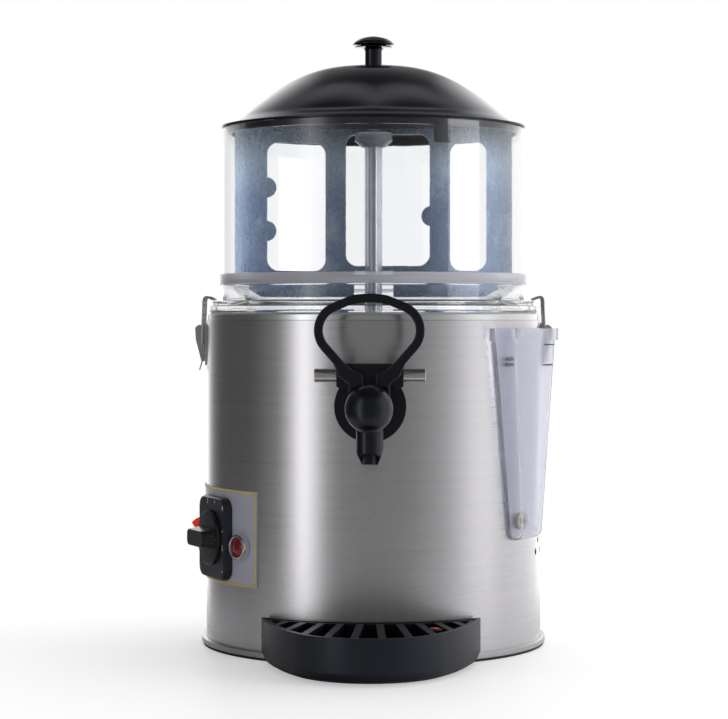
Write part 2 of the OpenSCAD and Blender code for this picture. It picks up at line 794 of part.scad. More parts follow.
module tap_body() color([0.08, 0.08, 0.1]) difference() {
  union() {
    tap_spoke(-spigot_len, tap_collar_u + 1, spigot_r);
    tap_spoke(tap_collar_u, collar_u1, tap_collar_r, 96);
    tap_spoke(collar_u1 - 1, barrel_u1, barrel_r);
    translate([0, -(shell_r + spout_u), tap_z - spout_len])
      cylinder(h = spout_len, r = spout_r, $fn = bore_fn);
    difference() {
      translate([-arm_out - fit, -(shell_r + arm_u), tap_z - pivot_down])
        rotate([0, 90, 0]) cylinder(h = 2 * (arm_out + fit), r = pivot_r, $fn = bore_fn);
      tap_spoke(arm_u - 5, arm_u + 5, piston_bore_r + 0.5);
    }
  }
  // Way in from the bowl, the piston's chamber and the way out
  tap_spoke(-spigot_len - 1, seat_u + 1, 5.5);
  tap_spoke(seat_u, barrel_u1 + 1, piston_bore_r);
  translate([0, -(shell_r + spout_u), tap_z - spout_len - 1])
    cylinder(h = spout_len + 1, r = spout_r - spout_t, $fn = bore_fn);
  // Slots for the cross pin
  translate([0, -(shell_r + arm_u), tap_z + pin_up]) {
    for (y = [0, -pin_slot]) translate([-barrel_r - 1, y, 0]) rotate([0, 90, 0])
      cylinder(h = 2 * barrel_r + 2, r = pin_r + play, $fn = bore_fn);
    translate([-barrel_r - 1, -pin_slot, -pin_r - play])
      cube([2 * barrel_r + 2, pin_slot, 2 * (pin_r + play)]);
  }
  // Groove for the locking rod
  translate([-tap_collar_r, -(shell_r + rod_u), tap_z + rod_up]) rotate([0, 90, 0])
    cylinder(h = 2 * tap_collar_r, r = rod_r + 0.08, $fn = bore_fn);
  // Slanted mouth
  translate([0, -(shell_r + spout_u) + spout_r * 0.55, tap_z - spout_len])
    rotate([-mouth_tilt, 0, 0]) translate([-spout_r - 1, -spout_len, -spout_len])
      cube([2 * spout_r + 2, spout_len, spout_len]);
  // The lip leans in on both sides
  for (s = [-1, 1]) translate([s * spout_r, -(shell_r + spout_u), tap_z - spout_len + lip_h])
    rotate([0, s * lip_lean, 0]) translate([(s - 1) * spout_r, -spout_r - 1, -2 * lip_h])
      cube([2 * spout_r, 2 * spout_r + 2, 2 * lip_h]);
}

module tap_seal() color([0.8, 0.8, 0.8]) difference() {
  intersection() {
    tap_spoke(port_end + fit - shell_r, pan_r - shell_r, port_r - 1);
    cylinder(h = shell_top, r = pan_r - fit, $fn = body_fn);
  }
  tap_spoke(port_end - shell_r - 1, pan_r - shell_r + 1, spigot_r + fit);
}

module tap_cap() color([0.08, 0.08, 0.1]) difference() {
  union() {
    tap_spoke(cap_back_u, cap_u, cap_r, 96);
    translate([0, -(shell_r + cap_u), tap_z]) sphere(cap_r);
  }
  tap_spoke(cap_u - cap_r - 1, cap_back_u, cap_r + 1);
  tap_spoke(cap_back_u - 1, barrel_u1 + fit, barrel_r + fit);
  tap_spoke(cap_back_u, spring_pocket_u, piston_bore_r + 0.3);
}

// The opening of the loop, or with grow its outer edge
module loop_2d(grow) {
  hull() {
    intersection() {
      translate([0, loop_top - loop_band - crown_r]) circle(crown_r + grow, $fn = 240);
      translate([-crown_half, loop_side_z]) square([2 * crown_half, loop_top]);
    }
    for (s = [-1, 1]) translate([s * (loop_half - loop_band - loop_side_r), loop_side_z])
      circle(loop_side_r + grow, $fn = 64);
    translate([0, waist_z + waist_r]) circle(waist_r + grow, $fn = 64);
  }
}

module lever_2d() {
  difference() {
    union() {
      loop_2d(loop_band);
      // The arms widen into the loop
      polygon([[-arm_out, neck_z - 4], [arm_out, neck_z - 4], [arm_out, neck_z],
        [loop_half * 0.55, neck_z + 5.5], [loop_half * 0.645, neck_z + 14],
        [-loop_half * 0.645, neck_z + 14], [-loop_half * 0.55, neck_z + 5.5], [-arm_out, neck_z]]);
      for (s = [-1, 1]) translate([s * (arm_in + arm_w / 2), (neck_z - pivot_down) / 2])
        square([arm_w, neck_z + pivot_down], center = true);
    }
    loop_2d(0);
    translate([-lever_slot / 2, -20]) square([lever_slot, 20 + waist_z + 5]);
    translate([-arm_in, -20]) square([2 * arm_in, 20 + barrel_r + 3]);
  }
}

module tap_lever() color([0.07, 0.07, 0.09]) difference() {
  union() {
    translate([0, 0, tap_z]) slab(shell_r + arm_u - lever_t / 2, shell_r + arm_u + lever_t / 2)
      lever_2d();
    for (s = [-1, 1]) translate([s * (arm_in + arm_w / 2), -(shell_r + arm_u), tap_z - pivot_down])
      rotate([0, 90, 0]) cylinder(h = arm_w, r = eye_r, center = true, $fn = bore_fn);
  }
  translate([-30, -(shell_r + arm_u), tap_z - pivot_down]) rotate([0, 90, 0])
    cylinder(h = 60, r = pivot_r + 0.08, $fn = bore_fn);
  // The cross pin rides in upright slots
  for (s = [-1, 1]) translate([s * (arm_in + arm_w / 2), -(shell_r + arm_u), tap_z + pin_up + 1])
    cube([arm_w + 2, 2 * (pin_r + play), 8], center = true);
}

module tap_piston() color([0.85, 0.85, 0.87]) difference() {
  union() {
    tap_spoke(seat_u + 3, barrel_u1 - 3, 4.5);
    tap_spoke(spout_u + piston_bore_r + 0.6, arm_u + 8.5, piston_bore_r - 0.3);
  }
  translate([-20, -(shell_r + arm_u), tap_z + pin_up]) rotate([0, 90, 0])
    cylinder(h = 40, r = pin_r + 0.02, $fn = bore_fn);
}

module piston_seal() color([0.75, 0.2, 0.15])
  tap_spoke(seat_u + 0.3, seat_u + 3, piston_bore_r - 0.5);

module piston_pin() color([0.8, 0.8, 0.82])
  translate([-arm_out, -(shell_r + arm_u), tap_z + pin_up]) rotate([0, 90, 0])
    cylinder(h = 2 * arm_out, r = pin_r, $fn = bore_fn);

// A coil spring as one tube, between the piston's shoulder and the cap
function spring_point(i, k) =
  let (a = 360 * i / spring_steps, b = 360 * k / spring_sides,
       u = spring_u0 + (spring_u1 - spring_u0) * i / (spring_turns * spring_steps))
  [(spring_r + spring_wire_r * cos(b)) * cos(a), -(shell_r + u + spring_wire_r * sin(b)),
   tap_z + (spring_r + spring_wire_r * cos(b)) * sin(a)];

module piston_spring() color([0.8, 0.8, 0.82]) {
  rings = spring_turns * spring_steps;
  n = spring_sides;
  polyhedron(
    points = [for (i = [0:rings], k = [0:n - 1]) spring_point(i, k)],
    faces = concat(
      [for (i = [0:rings - 1], k = [0:n - 1])
        [i * n + k, (i + 1) * n + k, (i + 1) * n + (k + 1) % n]],
      [for (i = [0:rings - 1], k = [0:n - 1])
        [i * n + k, (i + 1) * n + (k + 1) % n, i * n + (k + 1) % n]],
      [[for (k = [0:n - 1]) k]],
      [[for (k = [n - 1:-1:0]) rings * n + k]]));
}

module locking_rod() color([0.78, 0.77, 0.75])
  translate([-rod_len / 2, -(shell_r + rod_u), tap_z + rod_up]) rotate([0, 90, 0])
    cylinder(h = rod_len, r = rod_r, $fn = bore_fn);

// ---------- Catches ----------

module catch_base() color([0.6, 0.6, 0.62]) {
  difference() {
    translate([-catch_half + 1, -(shell_r + catch_t + fit), catch_z + 5 - catch_base_h])
      cube([2 * catch_half - 2, catch_t + 2, catch_base_h]);
    body_cut(shell_r + fit / 3);
  }
  // Two ears hold the lever's pin
  for (s = [-1, 1]) difference() {
    hull() {
      translate([s * (ear_half - catch_t / 2), -catch_rho, catch_z]) rotate([0, 90, 0])
        cylinder(h = catch_t, r = ear_r, center = true, $fn = 32);
      translate([s * (ear_half - catch_t / 2) - catch_t / 2, -(shell_r + catch_t), catch_z - 8])
        cube([catch_t, 0.5, 12]);
    }
    translate([s * ear_half, -catch_rho, catch_z]) rotate([0, 90, 0])
      cylinder(h = 4 * catch_t, r = catch_pin_r + 0.05, center = true, $fn = bore_fn);
  }
}

module left_catch_base() turned(-90) catch_base();
module right_catch_base() turned(90) catch_base();

module catch_lever() color([0.7, 0.7, 0.73]) {
  cheek = ear_half + play + catch_t;
  difference() {
    for (s = [-1, 1]) translate([s * (cheek - catch_t / 2) - catch_t / 2, -catch_rho, catch_z])
      rotate([90, 0, 90]) linear_extrude(catch_t) polygon([
        [2, 2.4], [-1, 3.6], [-3.7, 1.2], [-3.2, -8], [1.2, -25], [3.3, -25], [3.3, -4]]);
    translate([0, -bail_rho, bail_z]) rotate([0, 90, 0])
      cylinder(h = 30, r = wire_r + 0.05, center = true, $fn = bore_fn);
  }
  // Outer web and the curled finger tab
  translate([-cheek, -catch_rho, catch_z]) rotate([90, 0, 90]) linear_extrude(2 * cheek) polygon([
    [-3.7, 1.2], [-3.2, -8], [1.2, -25], [-0.6, -31.5], [0.2, -32], [2.3, -25], [-2.2, -8],
    [-2.7, 1]]);
  // The pivot pin turns in the ears
  translate([0, -catch_rho, catch_z]) rotate([0, 90, 0])
    cylinder(h = 2 * cheek, r = catch_pin_r, center = true, $fn = bore_fn);
}

module left_catch_lever() turned(-90) catch_lever();
module right_catch_lever() turned(90) catch_lever();

module bail() color([0.75, 0.75, 0.77]) {
  inner = ear_half + play - 0.2;
  for (s = [-1, 1]) {
    foot = [s * (catch_half + wire_r), -bail_rho, bail_z];
    bend = [s * (catch_half + wire_r), -bail_bend_rho, bail_top_z + 1.6];
    tip = [s * (catch_half + wire_r), -bail_tip_rho, bail_top_z];
    wire(foot, bend, wire_r);
    wire(bend, tip, wire_r);
    wire([s * inner, -bail_rho, bail_z], foot, wire_r);
    elbow(foot, wire_r);
    elbow(bend, wire_r);
    elbow(tip, wire_r);
  }
  wire([-catch_half - wire_r, -bail_tip_rho, bail_top_z],
    [catch_half + wire_r, -bail_tip_rho, bail_top_z], wire_r);
}

module left_bail() turned(-90) bail();
module right_bail() turned(90) bail();

// ---------- Controls ----------

module control_plate() color([0.78, 0.77, 0.82]) difference() {
  rotate([0, 0, panel_to - 90]) translate([0, 0, control_z + 2 - panel_h / 2])
    rotate_extrude(angle = panel_from - panel_to)
      translate([shell_r + fit / 3, 0]) square([panel_t, panel_h]);
  turned(dial_angle) translate([0, 0, control_z]) spoke(shell_r - 5, shell_r + 5, spindle_r + 1);
  turned(lamp_angle) translate([0, 0, lamp_z]) spoke(shell_r - 5, shell_r + 5, lamp_r - 2);
  turned(switch_angle) translate([0, 0, control_z])
    slab(shell_r - 8, shell_r + 5) square([switch_w - 4, switch_h - 4], center = true);
}

module thermostat_bezel() color([0.09, 0.09, 0.11]) turned(dial_angle) difference() {
  translate([0, 0, control_z]) difference() {
    hull() {
      slab(bezel_face - bezel_ease, bezel_face)
        rounded_rect(bezel_w - 2 * bezel_ease, bezel_h - 2 * bezel_ease, bezel_corner - bezel_ease);
      slab(shell_r - shell_sag, bezel_face - 2 * bezel_ease)
        rounded_rect(bezel_w, bezel_h, bezel_corner);
    }
    spoke(bezel_face - dial_well, bezel_face + 1, dial_well_r, 96);
    spoke(shell_r - 8, bezel_face, spindle_r + 1);
  }
  body_cut(panel_r + fit / 3);
}

module thermostat_body() color([0.85, 0.84, 0.8]) turned(dial_angle) translate([0, 0, control_z])
  difference() {
    intersection() {
      slab(shell_r - shell_t - thermostat_d, shell_r)
        square([thermostat_w, thermostat_w], center = true);
      translate([0, 0, -thermostat_w]) cylinder(h = 2 * thermostat_w, r = shell_r - shell_t - fit);
    }
    spoke(shell_r - shell_t - thermostat_d + 4, shell_r + 1, spindle_r + 0.08);
  }

module thermostat_spindle() color([0.75, 0.75, 0.78])
  turned(dial_angle) translate([0, 0, control_z])
    spoke(shell_r - shell_t - thermostat_d + 5, bezel_face + 3, spindle_r);

module thermostat_knob() color([0.07, 0.07, 0.09])
  turned(dial_angle) translate([0, 0, control_z]) difference() {
    union() {
      spoke(bezel_face - dial_well + 0.3, bezel_face - dial_sunk, dial_r, 96);
      // The wing grip tapers towards its top
      hull() {
        slab(bezel_face - 1, bezel_face) rounded_rect(2 * dial_r - 2, grip_foot, 6);
        slab(bezel_face + grip_h - 1, bezel_face + grip_h)
          rounded_rect(2 * dial_r - 7, grip_w, 4);
      }
    }
    spoke(bezel_face - dial_well, bezel_face + 3 + fit, spindle_r + 0.02);
  }

module thermostat_bulb() color([0.72, 0.45, 0.3])
  turned(dial_angle) translate([-bulb_len / 2, -pan_r * 0.8, pan_floor + bulb_r * 1.1])
    rotate([0, 90, 0]) cylinder(h = bulb_len, r = bulb_r, $fn = 32);

module safety_cutout() color([0.2, 0.2, 0.22])
  translate([pan_r * 0.62, 0, pan_under - cutout_h])
    cylinder(h = cutout_h - 0.1, r = cutout_r, $fn = 48);

module lamp_bezel() color([0.85, 0.85, 0.87]) turned(lamp_angle) difference() {
  translate([0, 0, lamp_z]) union() {
    spoke(shell_r - 2, panel_r + lamp_out, lamp_r, 64);
    spoke(shell_r - 24, shell_r, lamp_r - 2.2, 48);
  }
  difference() {
    body_cut(panel_r + fit / 3);
    translate([0, 0, lamp_z]) spoke(0, shell_r + 3, lamp_r - 2.1, 48);
  }
  translate([0, 0, lamp_z]) spoke(panel_r + 1.2, panel_r + lamp_out + 1, lens_r + 0.05, 64);
}

module lamp_lens() color([0.8, 0.06, 0.05]) turned(lamp_angle) translate([0, 0, lamp_z]) {
  dome_at = panel_r + lamp_out - 1.2;
  spoke(panel_r + 1.2, dome_at, lens_r, 64);
  intersection() {
    translate([0, -(dome_at + lens_rise - lens_ball_r), 0]) sphere(lens_ball_r);
    spoke(dome_at - 1, dome_at + 4, lens_r, 64);
  }
}

module switch_frame() color([0.09, 0.09, 0.11]) turned(switch_angle) difference() {
  translate([0, 0, control_z]) difference() {
    union() {
      slab(shell_r - 3, panel_r + 1.6) rounded_rect(switch_w, switch_h, 2);
      slab(shell_r - 20, shell_r) square([switch_w - 4.4, switch_h - 4.4], center = true);
    }
    slab(shell_r - 12, panel_r + 3) square([switch_w - 8, switch_h - 8], center = true);
  }
  difference() {
    body_cut(panel_r + fit / 3);
    translate([0, 0, control_z])
      slab(0, shell_r + 3) square([switch_w - 4.3, switch_h - 4.3], center = true);
  }
}

module switch_rocker() color([0.8, 0.1, 0.06])
  turned(switch_angle) translate([0, -rocker_pivot, control_z]) rotate([rocker_tilt, 0, 0])
    rotate([90, 0, 90]) translate([0, 0, -(switch_w - 8 - 2 * play) / 2])
      linear_extrude(switch_w - 8 - 2 * play) intersection() {
        translate([-9, -(switch_h - 9.6) / 2]) square([18, switch_h - 9.6]);
        difference() {
          circle(switch_h / 2 - 5, $fn = 64);
          translate([-switch_h * 0.62, 0]) circle(switch_h * 0.44, $fn = 64);
        }
      }

// ---------- Water tank ----------

module tank_form(wall, top_z) {
  c = tank_corner - wall;
  top_y = shell_r + tank_out - wall - c;
  foot_c = 7 - wall;
  foot_y = shell_r + tank_foot_out - wall - foot_c;
  foot_x = tank_foot_half - wall - foot_c;
  hull() {
    for (s = [-1, 1]) {
      translate([s * (tank_half - wall - c), -top_y, top_z - 1]) cylinder(h = 1, r = c, $fn = 32);
      translate([s * (tank_half - wall - c), -(shell_r - 12), top_z - 1])
        cylinder(h = 1, r = c, $fn = 32);
      translate([s * foot_x, -foot_y, tank_foot + wall + foot_c]) sphere(foot_c, $fn = 24);
      translate([s * foot_x, -(shell_r - 12), tank_foot + wall + foot_c]) sphere(foot_c, $fn = 24);
    }
  }
}

module tank_rim_form() {
  c = tank_corner + 3;
  hull() for (s = [-1, 1], y = [shell_r + tank_out + 3 - c, shell_r - 12])
    translate([s * (tank_half + 1 - c), -y, tank_top - tank_rim_h])
      cylinder(h = tank_rim_h, r = c, $fn = 32);
}

module water_tank() color([0.85, 0.87, 0.92, 0.5]) turned(tank_angle) difference() {
  union() {
    tank_form(0, tank_top);
    tank_rim_form();
  }
  body_cut(tank_r);
  difference() {
    tank_form(tank_t, tank_top + 1);
    body_cut(tank_r + tank_t);
  }
  turned(outlet_turn) translate([0, 0, outlet_z]) spoke(shell_r - 5, shell_r + 5, outlet_r + fit);
}

module tank_clip() color([0.3, 0.32, 0.36]) turned(tank_angle - 9) difference() {
  for (k = [0, 1]) translate([-clip_w / 2, -(tank_r + tank_t + 1.4), clip_z + clip_step * k])
    cube([clip_w, clip_step, clip_bar_h]);
  body_cut(tank_r + tank_t + 0.05);
}

module tank_pipe() color([0.62, 0.58, 0.5]) turned(tank_angle + outlet_turn) difference() {
  union() {
    translate([0, 0, outlet_z]) spoke(pipe_bend_rho, tank_r + tank_t + 1, outlet_r);
    translate([0, 0, outlet_z]) spoke(tank_r + tank_t + 0.5, tank_r + tank_t + 2, 6.4);
    translate([0, -pipe_bend_rho, outlet_z]) sphere(outlet_r, $fn = 48);
    translate([0, -pipe_bend_rho, outlet_z])
      cylinder(h = pan_floor + 3 - outlet_z, r = outlet_r, $fn = bore_fn);
  }
  translate([0, 0, outlet_z]) spoke(pipe_bend_rho, shell_r + 20, outlet_r - 1.2);
  translate([0, -pipe_bend_rho, outlet_z])
    cylinder(h = pan_floor + 4 - outlet_z, r = outlet_r - 1.2, $fn = bore_fn);
}

// ---------- Back ----------

module cable_gland() color([0.08, 0.08, 0.09])
  turned(180) difference() {
    translate([0, 0, gland_z]) union() {
      spoke(shell_r - 8, shell_r + 2, gland_r - 1.2);
      spoke(shell_r - 2, shell_r + 5, gland_r + 2, 6);
      spoke(shell_r + 5, shell_r + 1 + gland_len, gland_r - 1);
    }
    difference() {
      body_cut(shell_r + fit / 3);
      translate([0, 0, gland_z]) spoke(0, shell_r + 3, gland_r - 1.1);
    }
    translate([0, 0, gland_z]) spoke(shell_r - 9, shell_r + 1, gland_bore_r + 1);
    translate([0, 0, gland_z]) spoke(shell_r, shell_r + 2 + gland_len, gland_bore_r);
  }

module gland_nut() color([0.08, 0.08, 0.09])
  turned(180) translate([0, 0, gland_z]) difference() {
    spoke(shell_r - shell_t - 6, shell_r - shell_t - 1, gland_r + 3, 6);
    spoke(shell_r - 12, shell_r, gland_r - 1.2 + 0.05);
  }

// ---------- Drip tray ----------

// The tray's outline less an inset all round, with the body's side cut to back_r
module tray_2d(inset, back_r, sides = body_fn) {
  difference() {
    union() {
      translate([0, nose_y]) circle(tray_nose_r - inset, $fn = sides);
      intersection() {
        translate([tray_half - side_r, -tray_wide_at]) circle(side_r - inset, $fn = 2 * sides);
        translate([side_r - tray_half, -tray_wide_at]) circle(side_r - inset, $fn = 2 * sides);
        translate([-tray_half, nose_cut]) square([2 * tray_half, -nose_cut - shell_r / 2]);
      }
    }
    circle(back_r, $fn = body_fn);
  }
}

module drip_tray() color([0.1, 0.1, 0.12]) difference() {
  union() {
    hull() {
      translate([0, 0, tray_z0]) linear_extrude(0.1) tray_2d(6, shell_r, 40);
      translate([0, 0, tray_z0 + 2]) linear_extrude(0.1) tray_2d(2.5, shell_r, 40);
      translate([0, 0, tray_z0 + tray_foot_h]) linear_extrude(0.1) tray_2d(0.1, shell_r, 40);
    }
    translate([0, 0, tray_z0 + tray_foot_h]) linear_extrude(tray_h - tray_z0 - tray_foot_h)
      tray_2d(0, shell_r);
  }
  translate([0, 0, -1]) cylinder(h = tray_h + 2, r = rim_r + tray_gap, $fn = body_fn);
  translate([0, 0, tray_floor]) linear_extrude(tray_h)
    tray_2d(tray_t + ledge_w, rim_r + tray_gap + tray_t + ledge_w);
  translate([0, 0, ledge_z]) linear_extrude(tray_h) tray_2d(tray_t, rim_r + tray_gap + tray_t);
  for (s = [-1, 1]) translate([s * tongue_x - tongue_w / 2 - play, -shell_r - tongue_len - 2,
    tongue_z - play]) cube([tongue_w + 2 * play, tongue_len + 10, tongue_t + 2 * play]);
}

module tray_tongue() color([0.6, 0.6, 0.62]) difference() {
  for (s = [-1, 1]) translate([s * tongue_x - tongue_w / 2, -shell_r - tongue_len, tongue_z])
    cube([tongue_w, tongue_len + 6, tongue_t]);
  body_cut(shell_r + fit / 3);
}

module grille_2d() {
  inset = tray_t + 0.4;
  back_r = rim_r + tray_gap + tray_t + 0.4;
  difference() {
    tray_2d(inset, back_r);
    tray_2d(inset + grille_edge, back_r + grille_edge);
  }
  intersection() {
    tray_2d(inset, back_r);
    for (i = [0:slats - 1]) translate([0, fan_y]) rotate((i - (slats - 1) / 2) * fan_step)
      translate([-slat_w / 2, -300]) square([slat_w, 300]);
  }
}

module tray_grille() color([0.12, 0.12, 0.14]) difference() {
  union() {
    translate([0, 0, grille_z0]) linear_extrude(grille_z1 - grille_z0) grille_2d();
    translate([float_x, float_y, grille_z0])
      cylinder(h = grille_z1 - grille_z0, r = float_r + play + float_ring, $fn = bore_fn);
  }
  translate([float_x, float_y, grille_z0 - 1])
    cylinder(h = 10, r = float_r + play, $fn = bore_fn);
}

module tray_float() color([0.75, 0.1, 0.06]) translate([float_x, float_y, tray_floor + 0.3]) {
  cylinder(h = 4, r = float_r * 2, $fn = bore_fn);
  cylinder(h = grille_z1 - tray_floor + 0.6, r = float_r, $fn = bore_fn);
}

outer_shell();
base_plate();
foot_ring();
top_collar();
bath_pan();
heating_element();
jar_gasket();
jar();
jar_bowl();
jar_column();
gearbox();
motor();
motor_bracket();
thermostat_body();
thermostat_bulb();
safety_cutout();
control_plate();
thermostat_bezel();
lamp_bezel();
lamp_lens();
switch_frame();
water_tank();
tank_clip();
tank_pipe();
cable_gland();
gland_nut();
tap_flange();
tap_nut();
tap_body();
tap_seal();
tap_cap();
tray_tongue();
left_catch_base();
right_catch_base();
lid_shell();
lid_knob();
knob_washer();
paddle_blade();
paddle_hub();
drive_shaft();
tap_lever();
tap_piston();
piston_seal();
piston_pin();
piston_spring();
locking_rod();
left_catch_lever();
right_catch_lever();
left_bail();
right_bail();
thermostat_knob();
thermostat_spindle();
switch_rocker();
drip_tray();
tray_grille();
tray_float();
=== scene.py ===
"""Dresses the counter-top drink dispenser and sets up its studio."""

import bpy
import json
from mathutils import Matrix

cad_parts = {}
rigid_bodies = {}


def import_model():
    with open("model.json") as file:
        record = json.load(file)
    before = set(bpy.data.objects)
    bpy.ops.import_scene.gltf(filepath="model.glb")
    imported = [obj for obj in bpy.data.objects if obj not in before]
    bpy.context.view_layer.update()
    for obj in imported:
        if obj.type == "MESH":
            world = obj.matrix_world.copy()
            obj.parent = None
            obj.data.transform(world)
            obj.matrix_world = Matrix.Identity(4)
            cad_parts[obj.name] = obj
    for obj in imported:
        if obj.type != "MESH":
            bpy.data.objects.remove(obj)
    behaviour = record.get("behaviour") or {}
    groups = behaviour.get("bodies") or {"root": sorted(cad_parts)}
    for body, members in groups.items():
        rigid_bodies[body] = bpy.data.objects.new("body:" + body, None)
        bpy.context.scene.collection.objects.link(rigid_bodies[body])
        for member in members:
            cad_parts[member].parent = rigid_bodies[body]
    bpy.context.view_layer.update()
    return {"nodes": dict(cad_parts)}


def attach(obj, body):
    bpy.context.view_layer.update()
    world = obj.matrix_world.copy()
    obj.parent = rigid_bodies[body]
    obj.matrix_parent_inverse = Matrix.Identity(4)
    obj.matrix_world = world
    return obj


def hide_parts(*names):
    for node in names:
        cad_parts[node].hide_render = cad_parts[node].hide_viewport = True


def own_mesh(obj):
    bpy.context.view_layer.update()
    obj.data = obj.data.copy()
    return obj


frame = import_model()

import json
from math import cos, pi, radians, sin

import bpy
from mathutils import Matrix, Vector

bl_info = {
    "name": "Drink dispenser",
    "version": (1, 0, 0),
    "blender": (4, 5, 0),
    "location": "View3D > Sidebar > Dispenser",
    "description": "Detailed pieces, finishes and studio for the drink dispenser",
    "category": "Object",
}

NODES = frame["nodes"]
MM = 0.001
FULL_TURN = 2 * pi

# How far apart points may be, in metres, and still be joined as one
SAME_POINT = 1e-6
SAME_TURNED_POINT = 2e-6
SAME_WIRE_POINT = 5e-7

# The least turn in degrees at an edge of a CAD node that is rounded over
NODE_EDGE = 50

# Places on the round body: degrees from the front towards +X, then mm from the axis and mm up
DIAL = {"angle": -64, "rho": 135.5, "height": 86}
DIAL_MARKS_RHO, POINTER_RHO = 135.51, 138.75
PLATE_RHO = 130.85
PLATE_SIDES = (-40.5, -100.5)
PLATE_LEVELS = (53.6, 122.4)
LAMP_ANGLE, LAMP_HEIGHT = -47.4, 81.8
SWITCH = {"angle": -87, "rho": 131.85, "height": 86}
ROCKER_TILT, ROCKER_FACE = 8, 7.9  # degrees, and mm out from the switch's place
TANK_ANGLE, TANK_RHO = 60, 141.5
TAB_ANGLE, TAB_RHO = 27.7, 111


# ---------------------------------------------------------------- selecting and modelling


def deselect():
    for obj in bpy.context.view_layer.objects:
        obj.select_set(False)


def choose(obj):
    """Makes obj the only selected object and the active one."""
    deselect()
    obj.select_set(True)
    bpy.context.view_layer.objects.active = obj


def edit():
    bpy.ops.object.mode_set(mode="EDIT")
    bpy.ops.mesh.select_all(action="SELECT")


def leave():
    bpy.ops.object.mode_set(mode="OBJECT")


def rounded(corners, radius, steps):
    """The points of a closed 2D outline whose corners are rounded."""
    points = []
    for index, corner in enumerate(corners):
        here = Vector(corner)
        to_last = (Vector(corners[index - 1]) - here).normalized()
        to_next = (Vector(corners[(index + 1) % len(corners)]) - here).normalized()
        half = to_last.angle(to_next) / 2
        centre = here + (to_last + to_next).normalized() * radius / sin(half)
        reach = radius * cos(half) / sin(half)
        first = here + to_last * reach - centre
        last = here + to_next * reach - centre
        for step in range(steps + 1):
            turn = first.slerp(last, step / steps).normalized()
            points.append(tuple(centre + turn * radius))
    return points


def curve(first, pull, last, steps):
    """Points on a smooth bend from first to last, drawn towards pull."""
    return [
        tuple((1 - t) ** 2 * a + 2 * t * (1 - t) * b + t * t * c
              for a, b, c in zip(first, pull, last))
        for t in (step / steps for step in range(steps + 1))
    ]


def trace(points, closed=True):
    """Starts a mesh from one vertex and extrudes it along the points; stays in edit mode."""
    deselect()
    points = [Vector(p) for p in points]
    bpy.ops.mesh.primitive_plane_add(size=MM, location=points[0])
    edit()
    bpy.ops.mesh.merge(type="CENTER")
    path = points + points[:1] if closed else points
    for here, there in zip(path, path[1:]):
        bpy.ops.mesh.extrude_region_move(TRANSFORM_OT_translate={"value": there - here})
    bpy.ops.mesh.select_all(action="SELECT")
    bpy.ops.mesh.remove_doubles(threshold=SAME_POINT)
    return bpy.context.active_object


def settle(piece):
    """Moves a piece's place into its mesh."""
    choose(piece)
    bpy.ops.object.transform_apply(location=True, rotation=True, scale=True)


def placed(piece, place):
    """Moves a piece's mesh by a matrix, through its object."""
    piece.matrix_world = place @ piece.matrix_world
    settle(piece)
    return piece


def outside_out(piece):
    """Turns a closed mesh's faces round where they came out pointing inwards."""
    volume = sum(
        piece.data.vertices[face.vertices[0]].co.dot(face.normal) * face.area
        for face in piece.data.polygons)
    if volume < 0:
        choose(piece)
        edit()
        bpy.ops.mesh.flip_normals()
        leave()
    return piece


def leave_closed(piece):
    """Leaves edit mode with the piece's faces pointing out and its place in its mesh."""
    bpy.ops.mesh.normals_make_consistent(inside=False)
    leave()
    settle(piece)
    return outside_out(piece)


def turned(profile, steps=128, closed=True):
    """Spins a profile of (radius, height) points, in mm, about the upright axis."""
    piece = trace([(r * MM, 0, z * MM) for r, z in profile], closed)
    bpy.ops.mesh.spin(steps=steps, angle=FULL_TURN, center=(0, 0, 0), axis=(0, 0, 1))
    bpy.ops.mesh.select_all(action="SELECT")
    bpy.ops.mesh.remove_doubles(threshold=SAME_TURNED_POINT)
    return leave_closed(piece)


def plate(outline, depth, place):
    """A flat outline in mm, in the XY plane of place, thickened along its Z."""
    piece = trace([place @ Vector((x * MM, y * MM, 0)) for x, y in outline])
    bpy.ops.mesh.edge_face_add()
    along = place.to_3x3() @ Vector((0, 0, depth * MM))
    bpy.ops.mesh.extrude_region_move(TRANSFORM_OT_translate={"value": along})
    bpy.ops.mesh.select_all(action="SELECT")
    return leave_closed(piece)


def bar(centre, size, depth, place):
    """A small flat bar, its centre and size in mm in the XY plane of place."""
    (x, y), (width, height) = centre, size
    left, right, low, high = x - width / 2, x + width / 2, y - height / 2, y + height / 2
    return plate([(left, low), (right, low), (right, high), (left, high)], depth, place)


def wire(points, radius, sides=4, closed=False):
    """A round bar along a smooth path through the points, all in mm."""
    deselect()
    bpy.ops.curve.primitive_bezier_curve_add()
    route = bpy.context.active_object
    spline = route.data.splines[0]
    spline.bezier_points.add(len(points) - len(spline.bezier_points))
    for knot, point in zip(spline.bezier_points, points):
        knot.co = Vector(point) * MM
        knot.handle_left_type = knot.handle_right_type = "AUTO"
    spline.use_cyclic_u = closed
    route.data.resolution_u = 6
    route.data.bevel_depth = radius * MM
    route.data.bevel_resolution = sides
    route.data.use_fill_caps = True
    return as_mesh(Matrix.Identity(4))


def printed(words, size, place):
    """A number printed at the middle of a place, size in mm."""
    deselect()
    bpy.ops.object.text_add()
    mark = bpy.context.active_object
    mark.data.body = words
    mark.data.size = size * MM
    mark.data.extrude = 0.04 * MM
    mark.data.align_x, mark.data.align_y = "CENTER", "CENTER"
    mark.data.resolution_u = 4
    return as_mesh(place)


def as_mesh(place):
    """Makes the active curve or text a closed mesh, moved by a matrix."""
    bpy.ops.object.convert(target="MESH")
    piece = placed(bpy.context.active_object, place)
    edit()
    bpy.ops.mesh.remove_doubles(threshold=SAME_WIRE_POINT)
    bpy.ops.mesh.normals_make_consistent(inside=False)
    leave()
    return piece


